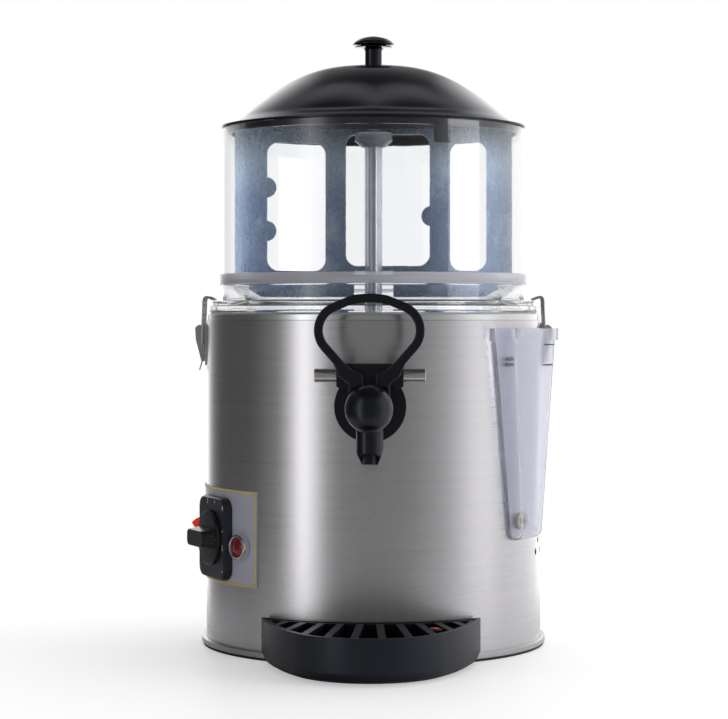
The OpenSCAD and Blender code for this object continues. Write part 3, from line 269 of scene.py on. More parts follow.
def apply_modifier(piece, kind, **values):
    choose(piece)
    change = piece.modifiers.new(kind.title(), kind)
    for key, value in values.items():
        setattr(change, key, value)
    bpy.ops.object.modifier_apply(modifier=change.name)


def ease(piece, width, segments=2, sharp=35):
    """Rounds over the edges of a piece that turn by more than sharp degrees; width in mm."""
    apply_modifier(
        piece, "BEVEL", width=width * MM, segments=segments,
        limit_method="ANGLE", angle_limit=radians(sharp), use_clamp_overlap=True,
    )


def join(*pieces):
    choose(pieces[0])
    for piece in pieces:
        piece.select_set(True)
    bpy.ops.object.join()
    return bpy.context.active_object


def copy_of(node, flat=0.4):
    """A merged copy of a CAD node's mesh, with faces within flat degrees joined up."""
    choose(NODES[node])
    bpy.ops.object.duplicate()
    piece = bpy.context.active_object
    piece.parent = None
    for key in list(piece.keys()):
        del piece[key]
    bpy.ops.mesh.customdata_custom_splitnormals_clear()
    edit()
    bpy.ops.mesh.remove_doubles(threshold=SAME_POINT)
    bpy.ops.mesh.dissolve_limited(angle_limit=radians(flat))
    leave()
    return piece


def finish_piece(piece, name, body, material, stands_for=(), smooth=30):
    """Names a piece, gives it its finish, and sets it on its body."""
    settle(piece)
    piece.name = piece.data.name = name
    if smooth:
        bpy.ops.object.shade_smooth_by_angle(angle=radians(smooth))
        apply_modifier(piece, "WEIGHTED_NORMAL", weight=90, keep_sharp=True)
    piece.data.materials.clear()
    piece.data.materials.append(finish(material))
    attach(piece, body)
    if stands_for:
        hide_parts(*stands_for)
    return piece


def eased_node(node, body, material, width, segments=2):
    """A CAD node with its edges rounded over by a width in mm, in the node's own place."""
    piece = copy_of(node)
    ease(piece, width, segments, NODE_EDGE)
    return finish_piece(piece, f"{node}_eased", body, material, [node])


def outward(angle):
    """Turns local Z to the outward direction at an angle in degrees from the front."""
    return Matrix.Rotation(radians(angle), 4, "Z") @ Matrix.Rotation(pi / 2, 4, "X")


def on_body(angle, rho, height):
    """A flat place on the round body, facing out: local X is sideways, Y up, Z outwards."""
    return (Matrix.Rotation(radians(angle), 4, "Z")
            @ Matrix.Translation((0, -rho * MM, height * MM)) @ Matrix.Rotation(pi / 2, 4, "X"))


def round_point(angle, rho, height):
    """The point at an angle from the front, a distance from the axis and a height, in mm."""
    return Vector((rho * sin(radians(angle)), -rho * cos(radians(angle)), height))


# ---------------------------------------------------------------- node groups


class Tree:
    """Adds and links the nodes of one node tree."""

    def __init__(self, tree):
        self.tree = tree

    def feed(self, node, sockets):
        """Sets a node's inputs, each to a value or to what comes out of another node."""
        for socket, value in sockets.items():
            if isinstance(value, bpy.types.NodeSocket):
                self.tree.links.new(value, node.inputs[socket])
            else:
                node.inputs[socket].default_value = value

    def add(self, kind, sockets=None, **settings):
        node = self.tree.nodes.new("ShaderNode" + kind)
        for key, value in settings.items():
            setattr(node, key, value)
        self.feed(node, sockets or {})
        return node

    def math(self, operation, first, second=0.0):
        return self.add("Math", {0: first, 1: second}, operation=operation).outputs[0]

    def mix(self, amount, first, second, blend="MIX"):
        node = self.add("Mix", data_type="RGBA", blend_type=blend)
        self.feed(node, {0: amount, 6: first, 7: second})
        return node.outputs[2]

    def noise(self, place, scale, detail, roughness=0.5):
        return self.add("TexNoise", {"Vector": place, "Scale": scale, "Detail": detail,
                                     "Roughness": roughness}).outputs[0]

    def fade(self, value, start, end, low=0.0, high=1.0, smooth=True):
        """Goes from low, where the value is start, to high, where it is end."""
        kind = "SMOOTHSTEP" if smooth else "LINEAR"
        return self.add("MapRange", {0: value, 1: start, 2: end, 3: low, 4: high},
                        interpolation_type=kind).outputs[0]

    def place(self):
        """Where the surface is on its piece, in metres."""
        return self.add("TexCoord").outputs["Object"]


def node_group(name, inputs, outputs):
    """A new shader group with its sockets, as (tree, start node, end node)."""
    group = bpy.data.node_groups.new(name, "ShaderNodeTree")
    for label, kind, default in inputs:
        socket = group.interface.new_socket(
            label, in_out="INPUT", socket_type="NodeSocket" + kind)
        if default is not None:
            socket.default_value = default
    for label, kind in outputs:
        group.interface.new_socket(label, in_out="OUTPUT", socket_type="NodeSocket" + kind)
    tree = Tree(group)
    return tree, group.nodes.new("NodeGroupInput"), group.nodes.new("NodeGroupOutput")


# Next to the fine lines, how long and how many the broad bands are, and each one's share
BROAD_ALONG, BROAD_ACROSS = 0.35, 0.09
FINE_SHARE, BROAD_SHARE = 0.65, 0.35


def brushed_group():
    """Fine brushed lines and slow clouds, from coordinates already laid along the grain."""
    t, start, end = node_group(
        "Brushed grain",
        [("Vector", "Vector", None), ("Along", "Float", 20.0), ("Across", "Float", 2500.0),
         ("Colour", "Color", (0.7, 0.7, 0.7, 1)), ("Contrast", "Float", 0.12),
         ("Roughness", "Float", 0.3), ("Roughness spread", "Float", 0.12)],
        [("Colour", "Color"), ("Roughness", "Float"), ("Height", "Float")],
    )
    given = start.outputs
    place = t.add("SeparateXYZ", {0: given["Vector"]}).outputs
    along = t.math("MULTIPLY", place[0], given["Along"])
    across = t.math("MULTIPLY", place[1], given["Across"])
    fine = t.add("CombineXYZ", {0: along, 1: across, 2: place[2]}).outputs[0]
    lines = t.noise(fine, 1.0, 3.0, 0.7)
    broad = t.add("CombineXYZ", {0: t.math("MULTIPLY", along, BROAD_ALONG),
                                 1: t.math("MULTIPLY", across, BROAD_ACROSS)}).outputs[0]
    bands = t.noise(broad, 1.0, 2.0)
    both = t.math("ADD", t.math("MULTIPLY", lines, FINE_SHARE),
                  t.math("MULTIPLY", bands, BROAD_SHARE))
    centred = t.math("SUBTRACT", both, 0.5)
    shade = t.math("ADD", 1.0, t.math("MULTIPLY", centred, given["Contrast"]))
    tint = t.add("CombineColor", {0: shade, 1: shade, 2: shade}).outputs[0]
    spread = t.math("MULTIPLY", centred, given["Roughness spread"])
    t.feed(end, {"Colour": t.mix(1.0, given["Colour"], tint, "MULTIPLY"),
                 "Roughness": t.math("ADD", given["Roughness"], spread), "Height": lines})
    return t.tree


# How high the fine noise is where a speck of dust starts, and at its middle
SPECK_EDGE, SPECK_MIDDLE = 0.62, 0.8


def moulded_group():
    """The fine skin of a moulding: slow shade changes, a faint pebble and a little dust."""
    t, start, end = node_group(
        "Moulded skin",
        [("Colour", "Color", (0.03, 0.03, 0.03, 1)), ("Grain", "Float", 2500.0),
         ("Roughness", "Float", 0.3), ("Roughness spread", "Float", 0.08),
         ("Dust", "Float", 0.05), ("Dust colour", "Color", (0.3, 0.3, 0.32, 1))],
        [("Colour", "Color"), ("Roughness", "Float"), ("Height", "Float")],
    )
    given = start.outputs
    place = t.place()
    cloud = t.noise(place, 18.0, 4.0)
    speck = t.fade(t.noise(place, 900.0, 1.0), SPECK_EDGE, SPECK_MIDDLE, smooth=False)
    dusty = t.math("MULTIPLY", t.math("MULTIPLY", cloud, given["Dust"]),
                   t.math("ADD", 0.5, speck))
    spread = t.math("MULTIPLY", t.math("SUBTRACT", cloud, 0.5), given["Roughness spread"])
    rough = t.math("ADD", t.math("ADD", given["Roughness"], spread),
                   t.math("MULTIPLY", dusty, 0.5))
    t.feed(end, {"Colour": t.mix(dusty, given["Colour"], given["Dust colour"]),
                 "Roughness": rough, "Height": t.noise(place, given["Grain"], 2.0)})
    return t.tree


def round_group():
    """Turns a place on a round body into (way round, height plus radius), in metres."""
    t, start, end = node_group(
        "Round the body", [("Radius", "Float", 0.13)], [("Vector", "Vector")])
    x, y, z = t.add("SeparateXYZ", {0: t.place()}).outputs
    rho = t.math("SQRT", t.math("ADD", t.math("MULTIPLY", x, x), t.math("MULTIPLY", y, y)))
    way = t.math("MULTIPLY", t.math("ARCTAN2", x, y), start.outputs["Radius"])
    spread = t.add("CombineXYZ", {0: way, 1: t.math("ADD", z, rho)}).outputs[0]
    t.feed(end, {"Vector": spread})
    return t.tree


def use_group(tree, make, sockets=None):
    """Places a shared group in a tree, building it the first time."""
    name = make.__name__
    if name not in use_group.made:
        use_group.made[name] = make()
    node = tree.tree.nodes.new("ShaderNodeGroup")
    node.node_tree = use_group.made[name]
    tree.feed(node, sockets or {})
    return node


use_group.made = {}


# ---------------------------------------------------------------- finishes


def blank(name):
    material = bpy.data.materials.new(name)
    material.use_nodes = True
    return material, Tree(material.node_tree), material.node_tree.nodes["Principled BSDF"]


def surface(tree, shader, group, lift, relief=1.0, **shader_values):
    """Gives a shader a group's colour, roughness and relief, lift metres high."""
    bump = tree.add("Bump", {
        "Strength": relief, "Distance": lift, "Height": group.outputs["Height"]})
    tree.feed(shader, {
        "Base Color": group.outputs["Colour"], "Roughness": group.outputs["Roughness"],
        "Normal": bump.outputs[0]})
    tree.feed(shader, {key.replace("_", " "): value for key, value in shader_values.items()})


def brushed(name, colour, roughness, along=14.0, across=2600.0, contrast=0.16, spread=0.1,
            stretch=0.0, round_body=True, turn=(0, 0, 0), lift=4e-6, relief=1.0, metal=1.0,
            **shader_values):
    """A brushed finish whose grain runs round the body or along one axis."""
    material, tree, shader = blank(name)
    if round_body:
        place = use_group(tree, round_group).outputs[0]
    else:
        place = tree.add("Mapping", {"Rotation": turn, "Vector": tree.place()}).outputs[0]
    grain = use_group(tree, brushed_group, {
        "Along": along, "Across": across, "Colour": (*colour, 1), "Contrast": contrast,
        "Roughness": roughness, "Roughness spread": spread, "Vector": place})
    surface(tree, shader, grain, lift, relief, Metallic=metal, Anisotropic=stretch,
            Anisotropic_Rotation=0.25, **shader_values)
    if stretch:
        tangent = tree.add("Tangent", direction_type="RADIAL", axis="Z")
        tree.feed(shader, {"Tangent": tangent.outputs[0]})
    return material, tree, shader, grain


def moulded(name, colour, roughness, grain=2500.0, dust=0.05, spread=0.08, lift=2e-6,
            relief=1.0, dust_colour=(0.3, 0.3, 0.32), passes=0.0, glow=0.0, **shader_values):
    """A moulded plastic, rubber or paint; passes is the share of a lamp's light let through."""
    material, tree, shader = blank(name)
    skin = use_group(tree, moulded_group, {
        "Colour": (*colour, 1), "Grain": grain, "Roughness": roughness,
        "Roughness spread": spread, "Dust": dust, "Dust colour": (*dust_colour, 1)})
    surface(tree, shader, skin, lift, relief, **shader_values)
    if passes:
        shadow = tree.add("LightPath").outputs["Is Shadow Ray"]
        tree.feed(shader, {"Alpha": tree.math("SUBTRACT", 1.0,
                                              tree.math("MULTIPLY", shadow, passes))})
    if glow:
        tree.feed(shader, {"Emission Color": skin.outputs["Colour"], "Emission Strength": glow})
    return material


# Heights in m over which a painted highlight turns the blade's top pale, and the noise and
# share of its patches of painted reflection
PAINTED_HIGHLIGHT_FROM, PAINTED_HIGHLIGHT_TO = 0.335, 0.4
REFLECTION_PATCH_EDGE, REFLECTION_PATCH_MIDDLE, REFLECTION_PATCH_SHARE = 0.52, 0.72, 0.7


def blade_steel(name, colour, painted_highlight_colour):
    """Bluish brushed sheet steel with soft cloudy streaks of painted reflection, and a painted
    highlight that makes it paler towards its top.
    """
    material, tree, shader, grain = brushed(
        name, colour, 0.27, along=120.0, across=900.0, spread=0.2, round_body=False,
        turn=(0, radians(90), 0))
    place = tree.place()
    level = tree.add("SeparateXYZ", {0: place}).outputs[2]
    upright = tree.add("Mapping", {"Scale": (1.0, 1.0, 0.6), "Vector": place}).outputs[0]
    cloud = tree.noise(upright, 26.0, 5.0, 0.65)
    # Painted light: the colour turns pale towards the top and in cloudy patches, standing in
    # for a highlight and reflections
    painted_top_highlight = tree.fade(level, PAINTED_HIGHLIGHT_FROM, PAINTED_HIGHLIGHT_TO)
    painted_reflection_patches = tree.fade(cloud, REFLECTION_PATCH_EDGE, REFLECTION_PATCH_MIDDLE, 0.0, REFLECTION_PATCH_SHARE, smooth=False)
    painted_light_mask = tree.math("MINIMUM", 1.0, tree.math("ADD", painted_top_highlight, painted_reflection_patches))
    tree.feed(shader, {"Base Color": tree.mix(painted_light_mask, grain.outputs["Colour"], painted_highlight_colour)})
    return material


COOL = {"Specular_Tint": (0.8, 0.86, 1, 1)}
CLOUDY = {"grain": 400.0, "dust": 0.04, "dust_colour": (0.6, 0.64, 0.7), "lift": 3e-5,
          "relief": 0.4, "IOR": 1.45}
LIT = {"grain": 500.0, "dust": 0.02, "spread": 0.04, "lift": 3e-5, "relief": 0.4,
       "Coat_Weight": 0.3}

# Finishes by the names of the record's slots and of the detailed pieces' parts:
# colour, roughness, and what differs from a plain brushed or moulded finish
BRUSHED = {
    "body_steel": ((0.745, 0.73, 0.75), 0.29, {
        "stretch": 0.78, "contrast": 0.34, "spread": 0.18, "lift": 5e-6}),
    "base_steel": ((0.62, 0.62, 0.63), 0.33, {"stretch": 0.6}),
    "collar_steel": ((0.8, 0.8, 0.81), 0.22, {"stretch": 0.5}),
    "bath_steel": ((0.66, 0.67, 0.69), 0.3, {"stretch": 0.5}),
    "catch_steel": ((0.6, 0.6, 0.62), 0.26, {
        "along": 60.0, "round_body": False, "turn": (0, radians(90), 0)}),
    "wire_steel": ((0.5, 0.5, 0.52), 0.25, {"along": 40.0, "across": 900.0}),
    "shaft_steel": ((0.72, 0.72, 0.74), 0.25, {}),
    "rod_steel": ((0.74, 0.72, 0.69), 0.28, {
        "along": 30.0, "round_body": False, "contrast": 0.3}),
    "bracket_steel": ((0.68, 0.68, 0.7), 0.35, {"round_body": False}),
    "spring_steel": ((0.6, 0.6, 0.62), 0.28, {}),
    "heater_steel": ((0.45, 0.43, 0.4), 0.4, {}),
    "bulb_copper": ((0.72, 0.42, 0.28), 0.32, {"round_body": False}),
    "lamp_chrome": ((0.78, 0.78, 0.8), 0.12, {"contrast": 0.04, "spread": 0.03}),
    "band_matt": ((0.9, 0.9, 0.99), 0.42, {
        "along": 9.0, "across": 900.0, "contrast": 0.9, "spread": 0.15, "lift": 3e-5,
        "relief": 0.5, "metal": 0.0, "Alpha": 0.45}),
}
MOULDED = {
    "jar_clear": ((0.985, 0.99, 1), 0.03, {
        "grain": 60.0, "dust": 0.01, "dust_colour": (0.8, 0.84, 0.9), "spread": 0.02,
        "lift": 1e-4, "relief": 0.4, "passes": 0.85, "Transmission_Weight": 1.0, "IOR": 1.45}),
    "tank_frosted": ((0.93, 0.94, 1), 0.14, {
        "grain": 120.0, "dust_colour": (0.7, 0.74, 0.8), "lift": 4e-5, "relief": 0.5,
        "passes": 0.75, "Transmission_Weight": 0.88, "IOR": 1.3}),
    "hub_grey": ((0.68, 0.71, 0.8), 0.2, {**CLOUDY, "Transmission_Weight": 0.6}),
    "column_grey": ((0.93, 0.94, 1.0), 0.2, {**CLOUDY, "Transmission_Weight": 0.85}),
    "lid_black": ((0.004, 0.004, 0.007), 0.13, {
        "dust": 0.012, "spread": 0.04, "lift": 6e-7, **COOL}),
    "tap_black": ((0.0045, 0.0045, 0.006), 0.24, {"dust": 0.015, "lift": 1.5e-6, **COOL}),
    "tray_black": ((0.0038, 0.004, 0.0085), 0.36, {
        "dust": 0.03, "grain": 1800.0, "lift": 5e-6, **COOL}),
    "grille_black": ((0.0035, 0.0038, 0.0072), 0.42, {
        "dust": 0.02, "grain": 1800.0, "lift": 5e-6, "Specular_IOR_Level": 0.25, **COOL}),
    "control_black": ((0.018, 0.019, 0.028), 0.33, {"grain": 2000.0, "lift": 4e-6, **COOL}),
    "knob_black": ((0.01, 0.01, 0.012), 0.24, {"grain": 2000.0}),
    "plate_silver": ((0.6, 0.6, 0.72), 0.35, {"grain": 900.0, "Metallic": 0.2}),
    "lamp_red": ((0.17, 0.001, 0.007), 0.12, {**LIT, "glow": 0.1}),
    "rocker_red": ((0.75, 0.045, 0.02), 0.12, {**LIT, "glow": 0.45}),
    "float_red": ((0.42, 0.015, 0.012), 0.25, {}),
    "gear_alloy": ((0.5, 0.5, 0.52), 0.5, {"grain": 700.0, "lift": 2e-5, "Metallic": 0.9}),
    "motor_paint": ((0.12, 0.12, 0.13), 0.45, {}),
    "seal_rubber": ((0.6, 0.6, 0.62), 0.5, {"dust": 0.1}),
    "foot_rubber": ((0.012, 0.012, 0.013), 0.6, {"dust": 0.2, "lift": 8e-6}),
    "pipe_plastic": ((0.35, 0.29, 0.22), 0.3, {}),
    "thermostat_plastic": ((0.6, 0.58, 0.5), 0.45, {}),
    "yellow_paint": ((0.8, 0.66, 0.12), 0.4, {"dust": 0.02}),
    "white_paint": ((0.8, 0.8, 0.82), 0.4, {"dust": 0.02}),
    "dark_ink": ((0.02, 0.022, 0.03), 0.4, {"dust": 0.02}),
}
# The paddle steel's second colour is the pale colour of its painted highlight and painted
# reflections
BLADE = {"paddle_steel": ((0.27, 0.35, 0.52), (0.68, 0.84, 1.0, 1))}


def finish(name):
    """The material of that name, made when it is first asked for."""
    if name not in finish.made:
        if name in BLADE:
            made = blade_steel(name, *BLADE[name])
        elif name in BRUSHED:
            colour, roughness, more = BRUSHED[name]
            made = brushed(name, colour, roughness, **more)[0]
        else:
            colour, roughness, more = MOULDED[name]
            made = moulded(name, colour, roughness, **more)
        finish.made[name] = made
    return finish.made[name]


finish.made = {}


# ---------------------------------------------------------------- settings and studio


class StudioSettings(bpy.types.PropertyGroup):
    """The view and the light."""

    distance: bpy.props.FloatProperty(
        name="Distance", description="From the camera to the machine's axis",
        default=1.72, unit="LENGTH")
    height: bpy.props.FloatProperty(
        name="Height", description="Height of the level camera above the counter",
        default=0.251, unit="LENGTH")
    orbit: bpy.props.FloatProperty(
        name="Orbit", description="Turn of the camera to the right of the tap",
        default=radians(1), subtype="ANGLE")
    surroundings: bpy.props.FloatProperty(
        name="Surroundings", description="Brightness of the soft surroundings",
        default=1.0, subtype="FACTOR")
    overhead_power: bpy.props.FloatProperty(
        name="Overhead power", description="Power of the lamp over the machine",
        default=11.0, unit="POWER")
    right_power: bpy.props.FloatProperty(
        name="Right power", description="Power of the lamp at the machine's right",
        default=7.0, unit="POWER")


LENS, SENSOR = 108.8, 36.0  # mm
CAMERA_SHIFT = (-0.013, -0.0556)

# Distances from the axis in m: the floor's edge, where it turns white, where mirrors lose it
FLOOR_RADIUS = 6.0
WHITE_FROM, WHITE_TO = 0.3, 0.75
MIRROR_FROM, MIRROR_TO = 0.25, 0.5
FLOOR_GLOW = 0.42


class DISPENSER_OT_studio(bpy.types.Operator):
    """Adds the floor, the soft surrounding light and the camera"""

    bl_idname = "dispenser.studio"
    bl_label = "Studio"

    def execute(self, context):
        settings = context.scene.studio_settings
        deselect()
        bpy.ops.mesh.primitive_circle_add(vertices=96, radius=FLOOR_RADIUS, fill_type="NGON")
        floor = context.active_object
        floor.name = "floor"
        floor.data.materials.append(floor_finish())
        light_world(context.scene, settings.surroundings)
        softbox("overhead_softbox", (0.15, 0.25, 1.6), (-9, 5, 0), (1.3, 0.6),
                settings.overhead_power)
        softbox("right_softbox", (1.5, -0.5, 0.5), (90, 0, 72), (0.8, 0.8),
                settings.right_power)
        angle = settings.orbit
        bpy.ops.object.camera_add(
            location=(settings.distance * sin(angle), -settings.distance * cos(angle),
                      settings.height),
            rotation=(pi / 2, 0, angle))
        camera = context.active_object
        camera.data.lens, camera.data.sensor_width = LENS, SENSOR
        camera.data.shift_x, camera.data.shift_y = CAMERA_SHIFT
        context.scene.camera = camera
        context.scene.view_settings.view_transform = "Standard"
        return {"FINISHED"}


def softbox(name, place, turn, size, power):
    """A wide lamp that doesn't show in reflections, turned by degrees about X, Y and Z."""
    bpy.ops.object.light_add(type="AREA", location=place)
    lamp = bpy.context.active_object
    lamp.name = name
    lamp.rotation_euler = [radians(angle) for angle in turn]
    lamp.data.shape = "RECTANGLE"
    lamp.data.size, lamp.data.size_y = size
    lamp.data.energy = power
    lamp.visible_glossy = False


def floor_finish():
    """Pale floor that turns white away from the machine and keeps its shadow."""
    material, tree, shader = blank("pale_floor")
    place = tree.place()
    mottle = tree.noise(place, 3.0, 3.0)
    path = tree.add("LightPath").outputs
    seen = tree.math("MAXIMUM", path["Is Camera Ray"], path["Is Transmission Ray"])
    tree.feed(shader, {
        "Base Color": tree.mix(mottle, (0.8, 0.79, 0.795, 1), (0.84, 0.84, 0.845, 1)),
        "Roughness": 0.5, "Emission Color": (1, 1, 1, 1),
        "Emission Strength": tree.math("MULTIPLY", seen, FLOOR_GLOW)})
    distance = tree.add("VectorMath", {0: place}, operation="LENGTH").outputs["Value"]
    white = tree.add("Emission", {"Color": (1, 1, 1, 1)})
    blend = tree.add("MixShader", {
        0: tree.math("MULTIPLY", tree.fade(distance, WHITE_FROM, WHITE_TO), seen),
        1: shader.outputs[0], 2: white.outputs[0]})
    ended = tree.fade(distance, MIRROR_FROM, MIRROR_TO, smooth=False)
    clear = tree.add("BsdfTransparent")
    mirrored = tree.add("MixShader", {
        0: tree.math("MULTIPLY", ended, path["Is Glossy Ray"]),
        1: blend.outputs[0], 2: clear.outputs[0]})
    tree.feed(material.node_tree.nodes["Material Output"], {"Surface": mirrored.outputs[0]})
    return material


# Brightness of the surroundings at each turn from the front, in degrees towards +X
SURROUNDINGS = [
    (-180, 1.9), (-166, 1.6), (-158, 1.2), (-151, 0.6), (-142, 0.22), (-134, 0.12),
    (-124, 0.08), (-88, 0.08), (-76, 0.16), (-66, 0.2), (-57, 0.62), (-48, 1.6), (-40, 1.0),
    (-32, 0.36), (-22, 0.21), (0, 0.2), (24, 0.21), (36, 0.28), (50, 0.4), (60, 0.6),
    (72, 0.9), (84, 1.0), (100, 0.75), (130, 0.9), (150, 1.2), (166, 1.6), (180, 1.9),
]
RAMP_SHARE = 0.4  # a colour ramp holds no level above 1, so it holds this share of each


def light_world(scene, brightness):
    """Soft surroundings: bright bands at the sides and behind, grey in front, dark overhead."""
    world = bpy.data.worlds.new("soft_room")
    scene.world = world
    world.use_nodes = True
    nodes = world.node_tree.nodes
    tree = Tree(world.node_tree)
    way = tree.add("TexCoord").outputs["Generated"]
    x, y, z = tree.add("SeparateXYZ", {0: way}).outputs
    wide = tree.math("ABSOLUTE", x)

    turn = tree.math("ARCTAN2", x, tree.math("MULTIPLY", y, -1.0))
    ramp = tree.add("ValToRGB", {
        0: tree.math("ADD", 0.5, tree.math("DIVIDE", turn, FULL_TURN))})
    stops = ramp.color_ramp.elements
    for degrees, level in SURROUNDINGS:
        at = 0.5 + degrees / 360
        stop = stops[0] if at == 0 else stops[-1] if at == 1 else stops.new(at)
        stop.color = (*[level * brightness * RAMP_SHARE] * 3, 1)
    sides = tree.math("MULTIPLY", ramp.outputs[0], 1 / RAMP_SHARE)

    # The dark overhead reaches lower down straight behind
    behind = tree.math("MULTIPLY", tree.math("MAXIMUM", y, 0.0),
                       tree.fade(wide, 0.05, 0.35, 0.5, 0.0))
    high = tree.fade(tree.math("ADD", z, behind), 0.5, 0.85)
    # A soft strip of light runs sideways across it, bowed down and fading at its ends
    lean = tree.add("VectorMath", {0: way, 1: (0.0, 0.95, -0.31)}, operation="DOT_PRODUCT")
    off = tree.math("ABSOLUTE", tree.math(
        "SUBTRACT", lean.outputs["Value"], tree.math("MULTIPLY", wide, 0.8)))
    strip = tree.math("MULTIPLY", tree.fade(wide, 0.5, 0.2), tree.fade(off, 0.15, 0.0))
    dusk = tree.fade(z, 0.88, 0.6, 0.04, 0.26, smooth=False)
    overhead = tree.fade(strip, 0.0, 1.0, dusk, 0.75, smooth=False)
    light = tree.add("Mix", {0: high, 2: sides, 3: overhead}, data_type="FLOAT")
    background = nodes["Background"]
    tree.feed(background, {"Color": light.outputs[0]})

    # The camera sees plain white, also through clear plastic, but there only straight behind
    path = tree.add("LightPath").outputs
    through = tree.math("MULTIPLY", tree.fade(y, 0.35, 0.6, smooth=False),
                        path["Is Transmission Ray"])
    white = tree.add("Background", {"Color": (1, 1, 1, 1)})
    blend = tree.add("MixShader", {
        0: tree.math("MAXIMUM", path["Is Camera Ray"], through),
        1: background.outputs[0], 2: white.outputs[0]})
    tree.feed(nodes["World Output"], {"Surface": blend.outputs[0]})


# ---------------------------------------------------------------- pieces


# Profiles for turning are (distance from the axis, height), in mm. The spout's, the knob disc's
# and the rings' are about their own axes, and what they make is laid outwards afterwards.
JAR_WALL = [
    (115, 398.3), (115.4, 398.7), (117.6, 398.7), (118, 398.3), (118, 285.9), (118.3, 285.4),
    (118.7, 285.2), (119, 284.8), (119, 278.2), (118.7, 277.8), (118.3, 277.6), (118, 277.1),
    (118, 265.5), (118.8, 264.7), (125.5, 264.7), (126, 264.2), (126, 261.6), (126.5, 261.1),
    (127.6, 261.1), (128, 260.7), (128, 256.2), (127.5, 255.7), (117, 255.7), (115.6, 256.6),
    (115, 258.5), (115, 277.2), (112.6, 276.4), (99.9, 263.8), (99, 261.6), (99, 181),
    (98.2, 178.2), (96.2, 176.4), (94, 176), (9.5, 176), (9, 176.4), (9, 178.6), (9.4, 179),
    (93.2, 179), (95, 179.7), (95.9, 181.4), (96, 183), (96, 263.2), (96.4, 264.6),
    (113.6, 281.8), (114.6, 283), (115, 284.6),
]
JAR_SPOUT = [(8, 98.5), (14, 98.5), (14, 109), (8, 109)]
JAR_SPOUT_HEIGHT = 188
JAR_COLUMN = [
    (5.25, 176.2), (6.85, 176.2), (6.85, 179.1), (8.6, 179.1), (8.8, 179.4), (8.8, 180.8),
    (8.4, 181.2), (6.85, 181.6), (6.85, 388.9), (6.5, 389.3), (5.6, 389.3), (5.25, 388.9),
]
JAR_BAND = [
    (118.85, 277.3), (119.2, 277.3), (119.4, 277.6), (119.4, 285.3), (119.2, 285.6),
    (118.85, 285.6),
]
LID_SKIRT = [
    (110.9, 398.7), (110.9, 394.4), (111.3, 394), (113, 394), (113.5, 394.5), (113.5, 398.6),
    (113.9, 399), (118.2, 399), (118.8, 399.2), (119, 399.7),
]
LID_OUTSIDE = [
    *curve((119, 400.4), (110.3, 401.2), (102.5, 408), 14),
    *curve((102.5, 408), (92.5, 416.65), (80, 425.6), 12)[1:],
    *curve((80, 425.6), (50.4, 446.7), (24, 446.7), 26)[1:], (2.6, 446.7),
]
LID_INSIDE = [
    *curve((2.6, 444.2), (44.6, 444.2), (65.6, 432.5), 20),
    (101.1, 406.5), (103, 403.4), (106, 401.6), (111, 400.4),
]
LID_KNOB = [
    (0, 437.8), (2.5, 437.8), (2.5, 448.1), (6.4, 448.1), (6.6, 448.5), (6.6, 460.4),
    (7.4, 461.9), (9.4, 462.6), (14.3, 462.7), (14.7, 463.0), (14.7, 463.3), (14.2, 463.6),
    (10.2, 463.8), (9.2, 464.5), (15.8, 464.6), (16.3, 464.9),
    *curve((16.35, 465.2), (14.4, 470.2), (0, 472.1), 18),
]
LID_WASHER = [
    (2.7, 446.8), (19.2, 446.8), (19.45, 447.1), (19.2, 447.7), (17.6, 448.1), (2.7, 448.1),
]
KNOB_DISC = [
    (4, 0.35), (20.2, 0.35), (20.8, 0.7), (20.9, 1.3), (20.5, 2.8), (19.7, 3.3), (4, 3.3),
]
LAMP_RING = [
    (7.45, 135), (7.45, 136.1), (7.9, 136.6), (8.6, 136.5), (9.4, 135.7), (9.6, 134.8),
    (9.6, 131), (8.55, 131), (8.55, 135),
]
ROCKER_RING = [(1.3, 0), (2, 0), (2, 0.15), (1.3, 0.15)]

# One half of a bail's wire, as for a catch at the front
BAIL_HALF = [
    (6.2, -133.6, 230), (8.6, -133.6, 230), (9.7, -133.5, 231), (10, -133.4, 233),
    (10, -132.1, 262), (10, -132, 265.2), (10, -131.2, 267.4), (10, -129.4, 267.9),
    (10, -125.3, 266.7), (9.4, -124.2, 266.4), (8, -123.7, 266.4),
]
CATCHES = {"left": -90, "right": 90}
LEVEL_LINES = {"upper": (22.5, 231.7), "lower": (20, 216.4)}  # sideways, up


class DISPENSER_OT_finishes(bpy.types.Operator):
    """Gives every carried-over node the finish of its slot"""

    bl_idname = "dispenser.finishes"
    bl_label = "Finishes"

    def execute(self, context):
        for node in NODES.values():
            slot = node.data.materials[0].name.split(".")[0]
            node.data.materials[0] = finish(slot)
        return {"FINISHED"}


class DISPENSER_OT_body(bpy.types.Operator):
    """Rounds over the sheet-metal rims of the body"""

    bl_idname = "dispenser.body"
    bl_label = "Body"

    def execute(self, context):
        eased_node("base_plate", "housing", "base_steel", 0.4)
        eased_node("top_collar", "housing", "collar_steel", 0.5, 3)
        return {"FINISHED"}


class DISPENSER_OT_jar(bpy.types.Operator):
    """Moulds the clear jar with its flange, band, funnel, heated bowl and column"""

    bl_idname = "dispenser.jar"
    bl_label = "Jar"

    def execute(self, context):
        wall = turned(JAR_WALL, steps=192)
        column = turned(JAR_COLUMN, steps=64)
        spout = placed(turned(JAR_SPOUT, steps=64),
                       Matrix.Translation((0, 0, JAR_SPOUT_HEIGHT * MM)) @ outward(0))
        band = turned(JAR_BAND, steps=192)
        finish_piece(band, "jar_band_matt", "housing", "band_matt", smooth=50)
        finish_piece(join(wall, spout), "jar_moulding", "housing", "jar_clear",
                     stands_for=["jar", "jar_bowl"], smooth=50)
        finish_piece(column, "jar_column_turned", "housing", "column_grey",
                     ["jar_column"], smooth=50)
        return {"FINISHED"}


class DISPENSER_OT_paddle(bpy.types.Operator):
    """Eases the pressed blade and its hub"""

    bl_idname = "dispenser.paddle"
    bl_label = "Paddle"

    def execute(self, context):
        eased_node("paddle_blade", "paddle", "paddle_steel", 0.35)
        eased_node("paddle_hub", "paddle", "hub_grey", 0.8, 3)
        return {"FINISHED"}


